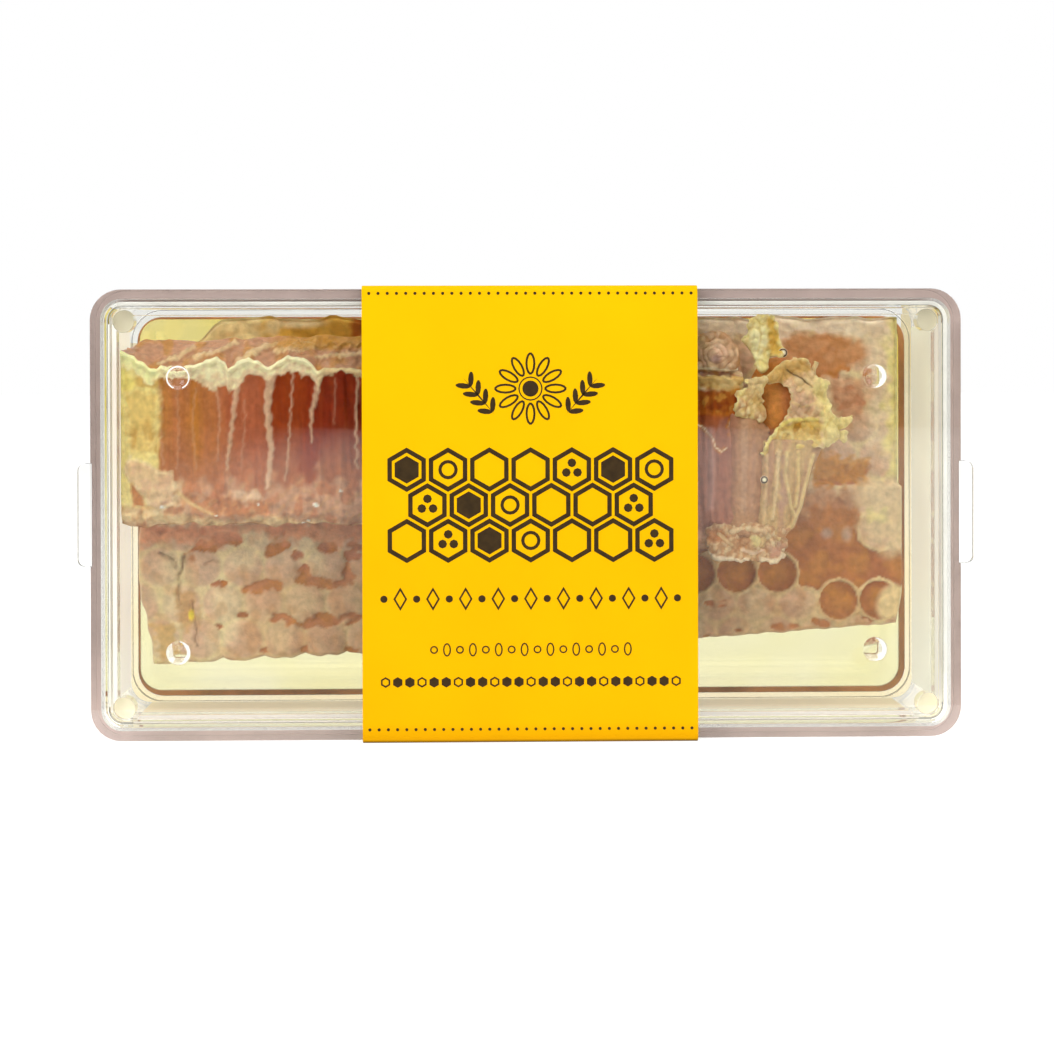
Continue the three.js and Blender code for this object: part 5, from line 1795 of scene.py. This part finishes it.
TORN_PIECES = (
    ("torn_tubes_left", [
        (23.8, 40.4), (27.2, 40.6), (29, 40), (30.4, 38.8), (30.4, 36.4), (30.2, 35.6), (30, 32),
        (29.6, 28), (29.2, 25.4), (23.8, 25.2), (23.8, 33),
    ], -11.2, 0.4, 0.12, "#ad8260", "#a87c5a", 0.0, (
        ("patch", [(23.6, 41), (26.4, 41), (26, 33), (25.4, 26), (23.6, 25)], 0.7, "#a6725a", 0.9, 0),
        ("line", [(27.2, 40.2), (27.2, 34), (27.1, 28)], 0.9, "#bb967a", 0.5, 0.1),
        ("line", [(28.4, 39.4), (28.3, 34), (28, 28)], 0.6, "#aa8066", 0.5, -0.1),
        ("patch", [(24.6, 28.6), (28.6, 28.2), (28.6, 25.2), (24.6, 25.2)], 0.7, "#b0845c", 0.6, 0),
    ), 401, 1.8),
    ("wet_hem", [
        (22.5, 26.4), (24, 26.8), (26, 26.6), (28, 27), (31, 26.6), (33.1, 26.2), (32.3, 25.4),
        (32.6, 24.9), (32.7, 24.2), (32.2, 23.6), (32.3, 23), (31.6, 22.2), (30.5, 21.9), (29.6, 22.2),
        (28.6, 22.3), (27.5, 22.3), (26.6, 22), (25.5, 22.4), (24.6, 22.4), (23.5, 22.5), (22.8, 23.2),
        (22.4, 24.6),
    ], -11.2, 0.5, 0.22, "#b48a60", "#ad8058", 0.0, (
        ("patch", [(22.6, 26), (24.4, 26.2), (25.2, 25), (24, 24.4), (22.6, 24.6)],
         0.4, "#b0703c", 0.85, -0.2),
        ("line", [(24, 25.6), (25, 24.7), (25.6, 24.2)], 0.35, "#cdb083", 0.8, 0.2),
        ("patch", [(25.8, 25.2), (28, 25.4), (28, 23.6), (26, 23.4)], 0.4, "#ad7a4c", 0.8, -0.2),
        ("patch", [(28.1, 25.5), (29.2, 25.2), (29.4, 24.2), (28.6, 23.9), (28.2, 24.4)],
         0.3, "#d2c486", 0.75, 0.15),
        ("patch", [(30.4, 24.4), (32.2, 24.2), (32, 22.6), (30.4, 22.7)], 0.4, "#b88a74", 0.7, 0.1),
        # Painted highlight: a thin bright glint across the hem.
        ("line", [(27, 23.6), (28.2, 23.2), (29.6, 23.5)], 0.3, "#dcc2a8", 0.6, 0.2),
        ("line", [(25.6, 25.9), (27.3, 26.3), (29.5, 26.1), (30.4, 25.2), (30.9, 24)],
         0.4, "#d8bd94", 0.65, 0.3),
        ("line", [(22.8, 23.2), (23.5, 22.6), (24.6, 22.5), (25.5, 22.5), (26.6, 22.1), (27.5, 22.4)],
         0.4, "#ead6b8", 0.95, 0.3),
        ("line", [(29.4, 22.4), (30.5, 22.1), (31.6, 22.3), (32.2, 23.1), (32.2, 23.6)],
         0.35, "#e2cdab", 0.9, 0.3),
    ), 402),
    ("flake_left", [
        (27.3, 44.9), (28.4, 45.1), (29.6, 45.4), (30.4, 45.3), (30.1, 44.7), (29.6, 44), (29.5, 42.6),
        (29.9, 41.2), (30, 40.2), (29.4, 39.6), (28.5, 39.8), (27.8, 40.2), (26.9, 40.2), (26, 40.5),
        (25.8, 41.2), (26.3, 42.6), (26.2, 43.3), (27, 43.7), (27.8, 44),
    ], -11.2, 0.35, 0.35, "#cbae74", "#c0986c", 0.35, (
        ("patch", [(27.7, 44.7), (29.3, 45.2), (29.5, 43.6), (28, 43.2)], 0.35, "#d0b684", 0.8, 0.1),
        ("patch", [(28.4, 43.2), (29.5, 43), (29.8, 41), (28.6, 40.8)], 0.35, "#bf9a5c", 0.7, -0.2),
        ("line", [(25.9, 40.7), (26.3, 42.4), (27, 43.6), (27.6, 44.8)], 0.4, "#dcca88", 0.8, 0.15),
        ("line", [(27.2, 40.4), (27.4, 42), (28.2, 43)], 0.35, "#b08258", 0.7, -0.15),
    ), 403),
    ("flake_upright", [
        (27.7, 51.9), (28.3, 52.6), (29.2, 53.1), (30.8, 53.1), (31.6, 52.2), (31.7, 51), (31.9, 49.7),
        (32.5, 48.6), (32.1, 47.8), (30.8, 47.9), (30.3, 46.8), (30, 46), (29.5, 45.8), (28.9, 46.5),
        (28.6, 47.7), (28.3, 48.6), (27.4, 49.6), (27.3, 50.3), (27.9, 50.8),
    ], -10.0, 0.35, 0.4, "#d8c684", "#d2ba78", 0.4, (
        ("patch", [(30.3, 52.8), (31.5, 52.2), (31.8, 50), (32.4, 48.5), (31.4, 47.9), (30.4, 48.6),
                   (30.2, 50.5)], 0.3, "#cba348", 0.9, -0.25),
        ("patch", [(28.2, 48.9), (28.4, 51.2), (29.8, 51.6), (30.1, 49.8), (29.5, 47.8), (28.8, 47.4)],
         0.35, "#e8dcaa", 0.9, 0.2),
        ("line", [(29.2, 52.2), (29.4, 50), (29, 48.2)], 0.25, "#cdb264", 0.6, -0.15),
        ("patch", [(29, 47.4), (30.2, 47.2), (30, 46), (29.4, 45.9)], 0.25, "#e0cf8a", 0.8, 0.1),
    ), 404),
    ("torn_body", [
        (29.2, 35.5), (30.2, 37.2), (31.3, 38.6), (32.4, 40.2), (33, 41.6), (33.2, 42.8), (32.7, 44),
        (31.8, 44.6), (30.6, 44.5), (29.8, 45), (30.6, 45.8), (31.4, 46.6), (32.4, 47.2), (33.3, 47.4),
        (34.2, 47.5), (35.2, 47.4), (35.5, 46.5), (36, 46.1), (36.3, 47.2), (36.5, 47.1), (36.3, 45.9),
        (36.5, 45.1), (37.6, 45), (38.2, 44.3), (37.6, 43.6), (37.8, 42.6), (38.3, 41.6), (38.2, 40.8),
        (39.1, 40), (40, 40.1), (40.7, 40.2), (41, 40.8), (40.9, 39.9), (40.2, 39.1), (39.3, 38.5),
        (40.3, 38.4), (40.3, 37.7), (40, 36.9), (39.2, 37.6), (38.6, 37), (37.9, 36.5), (37.2, 36.2),
        (36.7, 36.5), (35, 36.2), (32.9, 35.9), (31.2, 35.5),
    ], -10.7, 0.4, 0.4, "#d0ab86", "#c29a70", 0.45, (
        ("patch", [(36.4, 45.4), (38.3, 44.6), (37.9, 42.6), (38.5, 41), (41.2, 40.8), (40.4, 39),
                   (40.4, 36.8), (38.6, 36.6), (37.2, 36.1), (36.9, 38), (37, 40), (36.3, 42.4), (35.4, 44)],
         0.5, "#dcca8a", 0.9, 0.1),
        ("patch", [(29.2, 35.5), (30.3, 37.2), (31.4, 38.8), (33.2, 39.8), (35.2, 39.9), (36.9, 39.6),
                   (37, 37.2), (36.2, 36.3), (32.9, 35.8), (31, 35.4)], 0.3, "#cbac5a", 0.85, -0.15),
        ("patch", [(33.3, 39.5), (34.7, 39.6), (34.8, 38.5), (33.6, 38.2)], 0.2, "#b5822c", 0.85, -0.25),
        ("patch", [(35.3, 39.1), (36.6, 39), (36.8, 38), (35.6, 37.8)], 0.2, "#bd9440", 0.8, -0.15),
        ("line", circle(32.6, 37.7, 0.75), 0.25, "#dccb8c", 0.7, 0.12),
        ("line", [(29.3, 35.7), (30.4, 37.3), (31.5, 38.8), (33, 39.8), (35, 40), (36.6, 39.9)],
         0.32, "#e2cf74", 0.9, 0.25),
        ("patch", [(33.3, 43.4), (35.2, 43.6), (36.2, 41.6), (34.8, 40.7), (33.3, 41.2)],
         0.5, "#cba68a", 0.7, 0.1),
        ("patch", [(29.6, 45), (31.2, 46.8), (33.6, 47.6), (35.2, 47.5), (35.8, 46), (33.8, 45.4),
                   (31.6, 44.4)], 0.4, "#c29c58", 0.85, 0.1),
        ("patch", [(33.6, 45), (35.4, 45.6), (36.4, 44.6), (35.4, 43.2), (34, 43.8)],
         0.35, "#d3b886", 0.7, 0.15),
        ("line", [(32.7, 46.2), (33.4, 45.7), (34.6, 44.9), (35.7, 44)], 0.34, "#57453c", 0.95, -0.3),
        ("line", [(33.4, 42), (34.6, 41.6), (36, 41.9), (37.4, 41.2)], 0.25, "#dcc088", 0.6, 0.15),
        ("line", [(38.4, 40.2), (37.4, 38.8), (37.6, 37.4)], 0.3, "#c9ae6a", 0.7, -0.2),
        ("line", [(34, 36.6), (35.4, 37.4), (36.6, 37)], 0.25, "#e0ce86", 0.7, 0.15),
    ), 405),
)
BUNDLE_LEFT = ((37, 28.9), (35.6, 28.8), (32.1, 28.5), (28.6, 28), (26.3, 27.8), (24.4, 27.6))
BUNDLE_RIGHT = ((37, 37.5), (35.6, 37), (33.7, 36.2), (31.4, 35.5), (28.9, 34.9), (26.3, 33.8), (24.4, 31.7))
BUNDLE_FOLDS = (
    (((28.9, 35.6), (28.5, 32), (28, 27)), 0.35, 0.3, "#d3bd84"),
    (((31.6, 35.8), (31.3, 32), (30.8, 27.4)), 0.5, 0.3, "#d6bf94"),
    (((32.5, 35.8), (32.3, 33), (33.1, 29), (33.6, 27.8)), 0.4, 0.35, "#dcc688"),
    (((34, 35.8), (34, 32), (33.6, 29)), 0.4, 0.5, "#d2b97c"),
    (((36, 35.4), (34.9, 31.4), (34.3, 28.9), (33.2, 26.5), (31.5, 24.9)), 0.5, 0.5, "#dac489"),
    (((30, 35.4), (29.8, 31), (29.6, 27)), 0.5, 0.6, "#c7a97c"),
)


def tube_bundle():
    """A bundle of emptied cells pressed together, narrower towards its torn foot."""
    obj, across, up = grid("torn_tubes", 150, 110)
    closing = np.clip(np.minimum(up, 1 - up) / 0.06, 0, 1)
    z = mixed(24.2, 37.4, np.clip((up - 0.05) / 0.9, 0, 1))
    lefts, rights = np.array(BUNDLE_LEFT)[::-1].T, np.array(BUNDLE_RIGHT)[::-1].T
    left, right = np.interp(z, *lefts), np.interp(z, *rights)
    turn = across * 2 * math.pi
    swell = np.sqrt(closing)
    x = (left + right) / 2 - np.cos(turn) * (right - left) / 2 * swell
    y = -8.2 - np.sign(np.sin(turn)) * np.sqrt(np.abs(np.sin(turn))) * 3.1 * swell
    front = np.sin(turn) > 0
    streak = waves(x, z * 0.12, 0.8, 103)
    tint = layered(
        flat_tint(len(x), "#be9e6e"),
        ("#b28a68", smooth(-0.3, 0.8, streak) * 0.8),
        ("#ab8064", 0.6 * patch(x, z, [(30.2, 35.6), (31.2, 35.6), (30.7, 29), (29.9, 29)], 0.4)),
        ("#b08a74", 0.7 * patch(x, z, [(31.9, 35.6), (32.4, 35.6), (33, 29.5), (31.6, 28)], 0.3)),
    )
    folds = np.zeros_like(x)
    for line, wide, narrow, code in BUNDLE_FOLDS:
        cover = stroke(x, z, line, wide, narrow, 0.4)
        tint = tinted(tint, code, 0.7 * cover)
        folds = np.maximum(folds, cover)
    flutes = 0.22 * np.sin(2 * math.pi * (x - left) / 2.3) + 0.12 * waves(x, z * 0.25, 0.7, 101)
    y += np.where(front, flutes - 0.4 * folds, -flutes) * swell
    y = np.maximum(y, STRIP[1] + 0.1)
    place(obj, x, y, z + 0.4 * waves(x, x * 0, 1.3, 102) * smooth(26.0, 24.5, z))
    tint = tinted(tint, "#b98c58", 0.6 * smooth(27, 25, z) * smooth(-0.2, 0.6, waves(x, z, 1.2, 104)))
    paint(obj, tint, np.full_like(x, 0.75) - 0.3 * folds)
    return closed_sheet(obj)


def honey_cell():
    """The open cell behind the flakes, full of honey: the core that the flakes hang on."""
    obj, across, up = grid("torn_core", 90, 70)
    turn, tilt = across * 2 * math.pi, (up - 0.5) * math.pi
    x = 32.4 + np.cos(turn) * np.cos(tilt) * 4.4
    z = 41.4 + np.sin(tilt) * 6.4
    y = -7.2 - np.sin(turn) * np.cos(tilt) * 3.0
    x += 0.4 * waves(z, y, 4.0, 111, 1)
    place(obj, x, y, z)
    tint = layered(
        flat_tint(len(x), "#c2803e"),
        ("#b56e38", smooth(40.0, 36.5, z + 0.5 * waves(x, z, 2.5, 113))),
        ("#ad6440", 0.6 * smooth(31.4, 32.6, x)),
    )
    paint(obj, tint, np.full_like(x, 0.9))
    return closed_sheet(obj)


CURL_AT = (23.9, 48.1)
CURL_OUTLINE = [
    (20.2, 46), (22, 46.1), (24, 46), (26.5, 46.1), (26.7, 47.6), (26.4, 49), (25.6, 50.2), (24.4, 50.9),
    (22.8, 50.9), (21, 50.5), (20.2, 50.2),
]


def wax_curl():
    """A strip of capping rolled up, seen from its side: a soft roll whose turns stand in low relief."""
    obj, x, z, edge = cut_sheet("wax_curl", ragged(CURL_OUTLINE, 0.5, 0.05, 221), 0.11)
    dx, dz = x - CURL_AT[0], (z - CURL_AT[1]) * 1.1
    reach = np.hypot(dx, dz) + 0.3 * waves(x, z, 1.8, 222)
    turns = reach / 0.85 - np.arctan2(dz, dx) / math.tau
    ridge = 0.5 + 0.5 * np.cos(turns * math.tau)
    roll = smooth(3.2, 0.4, reach)
    y = -10.6 - 0.7 * roll - 0.15 * ridge + 0.5 * smooth(0.6, 0, edge) + 0.15 * waves(x, z, 0.9, 223)
    place(obj, x, np.maximum(y, STRIP[1] + 0.3), z)
    tint = layered(
        flat_tint(len(x), "#b6906e"),
        ("#d2b290", ridge * smooth(-0.9, 0.4, waves(x, z, 1.3, 225))),
        ("#c9ab78", 0.6 * smooth(0, 0.8, waves(x, z, 1.8, 224)) * smooth(24.5, 22, x)),
        ("#a5774c", 0.7 * smooth(2, 2.6, reach) * smooth(-0.4, 0.5, waves(x, z, 0.8, 226))),
        ("#d6b094", 0.8 * spots(x, z, ((24.2, 48.5, 1.0, 0.8, 10, 1.0),), 0.5)),
        ("#a5847c", 0.8 * spots(x, z, ((23.6, 47.6, 0.6, 0.5, 0, 1.0),), 0.6)),
        # Painted highlight: a thin bright line along the curl's foot.
        ("#efe4c6", 0.9 * stroke(x, z, [(20.2, 46.6), (23, 46.5), (26.6, 46.2)], 0.2, 0.2, 0.2)),
    )
    paint(obj, tint, np.full_like(x, 0.7))
    apply_modifier(obj, "SOLIDIFY", thickness=0.5 * MM, offset=0)
    face_outward(obj)
    return obj


BUBBLES = (
    (29.66, 32.4, 0.5, -11.55), (32.2, 48.3, 0.6, -10.4), (42.4, 45.2, 0.4, -1.6), (40.8, 45, 0.3, -1.6),
)


def air_bubble(name, x, z, radius, depth):
    """A small bubble of air under thin honey: a painted dark ring round a painted bright dome, its dark edge
    and its highlight.
    """
    deselect()
    bpy.ops.mesh.primitive_uv_sphere_add(
        segments=24, ring_count=12, radius=radius * MM, location=Vector((x, depth, z)) * MM,
        rotation=(math.pi / 2, 0, 0),
    )
    obj = settle(bpy.context.object, name)
    at_x, at_y, at_z = points(obj).T
    reach = np.hypot(at_x - x, at_z - z) / radius
    place(obj, at_x, depth + (at_y - depth) * 0.5, at_z)
    tint = tinted(flat_tint(len(at_x), "#f4e6c8"), "#4a3020",
                  smooth(0.4, 0.6, reach) * smooth(1, 0.85, reach))
    paint(obj, tint, np.full_like(at_x, 1.0))
    face_outward(obj)
    return obj


# ---- the stage ----

class HONEYCOMB_OT_stage(bpy.types.Operator):
    """Sets up the floor, the lights, the world and the camera"""

    bl_idname = "honeycomb.stage"
    bl_label = "Stage"

    def execute(self, context):
        look = context.scene.honeycomb_pack.stage
        white_floor()
        dark_flag()
        table_sheen()
        studio_lights()
        white_world(context.scene)
        camera(context.scene, look)
        context.scene.view_settings.view_transform = "Standard"
        return {"FINISHED"}


def white_floor():
    """A plain white table, wide enough to fill every view."""
    deselect()
    bpy.ops.mesh.primitive_plane_add(size=8, location=(0, 1.4, -0.00002))
    floor = settle(bpy.context.object, "floor")
    material, tree, out = new_material("white_paper_floor")
    paper = add_node(
        tree, "ShaderNodeBsdfPrincipled",
        {
            "Base Color": (0.62, 0.62, 0.62, 1), "Roughness": 0.9, "IOR": 1.1,
            "Emission Color": (1, 1, 1, 1), "Emission Strength": 0.76,
        },
    )
    tree.links.new(paper.outputs[0], out.inputs["Surface"])
    floor.data.materials.append(material)


def studio_lights():
    """Soft boxes: a broad one overhead, one from each side in front."""
    for name, place, size, power in (
        ("overhead", (0.0, -0.1, 0.7), 0.7, 3.2),
        ("left_front", (-0.5, -0.6, 0.45), 0.4, 1.6),
        ("right_front", (0.6, -0.5, 0.5), 0.4, 1.2),
    ):
        bpy.ops.object.light_add(type="AREA", location=place)
        lamp = bpy.context.object
        lamp.name = name
        lamp.data.size = size
        lamp.data.energy = power
        aim = Vector((0, 0, 0.028)) - Vector(place)
        lamp.rotation_euler = aim.to_track_quat("-Z", "Y").to_euler()


def white_world(scene):
    """An even white surround."""
    world = bpy.data.worlds.new("white_surround")
    world.use_nodes = True
    tree = world.node_tree
    tree.nodes.clear()
    out = add_node(tree, "ShaderNodeOutputWorld")
    path = add_node(tree, "ShaderNodeLightPath")
    seen = add_node(
        tree, "ShaderNodeMath", {0: path.outputs["Is Camera Ray"], 1: path.outputs["Is Transmission Ray"]},
        operation="MAXIMUM",
    )
    strength = add_node(
        tree, "ShaderNodeMapRange", {"Value": seen.outputs[0], 3: WORLD_LIGHT, 4: WORLD_SEEN}
    )
    background = add_node(
        tree, "ShaderNodeBackground", {"Color": (1, 1, 1, 1), "Strength": strength.outputs[0]}
    )
    tree.links.new(background.outputs[0], out.inputs["Surface"])
    scene.world = world


WORLD_LIGHT = 0.45
WORLD_SEEN = 1.0


def table_sheen():
    """What the lid mirrors of the table just in front: dimmer than the far table. Only mirrors see it."""
    deselect()
    bpy.ops.mesh.primitive_plane_add(size=1, location=(0, -0.88, 0.0005))
    card = bpy.context.object
    card.scale = (3, 1.68, 1)
    settle(card, "table_sheen")
    material, tree, out = new_material("dim_table_sheen")
    glow = add_node(tree, "ShaderNodeValToRGB", {"Fac": changing(tree, "Y", -1720, -40)})
    ramp = glow.color_ramp.elements
    for at, grey in SHEEN[1:-1]:
        ramp.new(at)
    for stop, (at, grey) in zip(ramp, SHEEN):
        stop.position, stop.color = at, (grey, grey, grey, 1)
    light = add_node(
        tree, "ShaderNodeEmission",
        {"Color": glow.outputs["Color"], "Strength": changing(tree, "X", -170, -100, 0.2, 1.0)},
    )
    tree.links.new(light.outputs[0], out.inputs["Surface"])
    card.data.materials.append(material)
    mirror_only(card)


SHEEN = ((0, 0.3), (0.05, 0.42), (0.23, 0.68), (0.45, 0.85), (0.7, 0.75), (0.86, 0.5), (1, 0.3))


def mirror_only(obj):
    """Makes a piece of the stage visible in reflections alone, also in those from inside the clear lid."""
    obj.visible_camera = obj.visible_diffuse = False
    obj.visible_shadow = obj.visible_volume_scatter = False


def dark_flag():
    """A dark cloth hung far in front, which only mirrors see: it keeps the upper lid free of glare."""
    deselect()
    bpy.ops.mesh.primitive_plane_add(size=1, location=(0, -1.72, 0.1), rotation=(math.pi / 2, 0, 0))
    flag = bpy.context.object
    flag.scale = (1.1, 0.2, 1)
    settle(flag, "dark_flag")
    material, tree, out = new_material("black_cloth")
    cloth = add_node(tree, "ShaderNodeBsdfDiffuse", {"Color": (0.02, 0.02, 0.02, 1)})
    tree.links.new(cloth.outputs[0], out.inputs["Surface"])
    flag.data.materials.append(material)
    mirror_only(flag)


def camera(scene, look):
    """A camera in front of the pack, just above its middle, nearly level."""
    deselect()
    place = Vector((look.aside, LID[1] - look.distance, look.height)) * MM
    bpy.ops.object.camera_add(location=place)
    eye = bpy.context.object
    ahead = Vector((
        math.sin(look.yaw) * math.cos(look.pitch),
        math.cos(look.yaw) * math.cos(look.pitch),
        -math.sin(look.pitch),
    ))
    level = Vector((math.cos(look.yaw), -math.sin(look.yaw), 0))
    upright = level.cross(ahead)
    right = level * math.cos(look.roll) + upright * math.sin(look.roll)
    up = right.cross(ahead)
    turn = Matrix((right, up, -ahead)).transposed()
    eye.rotation_euler = turn.to_euler()
    eye.data.sensor_width = 36
    eye.data.lens = look.lens
    eye.data.shift_y = look.shift
    eye.data.clip_start = 0.01
    eye.data.clip_end = 20
    scene.camera = eye


# ---- panel and registration ----

class HONEYCOMB_PT_pack(bpy.types.Panel):
    """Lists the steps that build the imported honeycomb"""

    bl_idname = "HONEYCOMB_PT_pack"
    bl_label = "Packed honeycomb"
    bl_space_type = "VIEW_3D"
    bl_region_type = "UI"
    bl_category = "Honeycomb"

    def draw(self, context):
        settings = context.scene.honeycomb_pack
        for step in STEPS:
            self.layout.operator(step.bl_idname)
        for group in (settings.box, settings.sleeve, settings.comb, settings.stage):
            column = self.layout.column(align=True)
            for key in group.__annotations__:
                column.prop(group, key)


STEPS = (
    HONEYCOMB_OT_stage, HONEYCOMB_OT_clear_box, HONEYCOMB_OT_floor_honey, HONEYCOMB_OT_card_sleeve,
    HONEYCOMB_OT_comb_slab, HONEYCOMB_OT_comb_strip, HONEYCOMB_OT_torn_comb,
)
CLASSES = (BoxSizes, SleeveLook, CombLook, StageLook, PackSettings, *STEPS, HONEYCOMB_PT_pack)


def register():
    """Registers the classes and hangs the settings on the scene."""
    for cls in CLASSES:
        bpy.utils.register_class(cls)
    bpy.types.Scene.honeycomb_pack = PointerProperty(type=PackSettings)


def unregister():
    """Removes the settings and the classes."""
    del bpy.types.Scene.honeycomb_pack
    for cls in reversed(CLASSES):
        bpy.utils.unregister_class(cls)


def main():
    """Registers the classes and runs every step in order."""
    register()
    for step in STEPS:
        group, name = step.bl_idname.split(".")
        getattr(getattr(bpy.ops, group), name)()


if __name__ == "__main__":
    main()
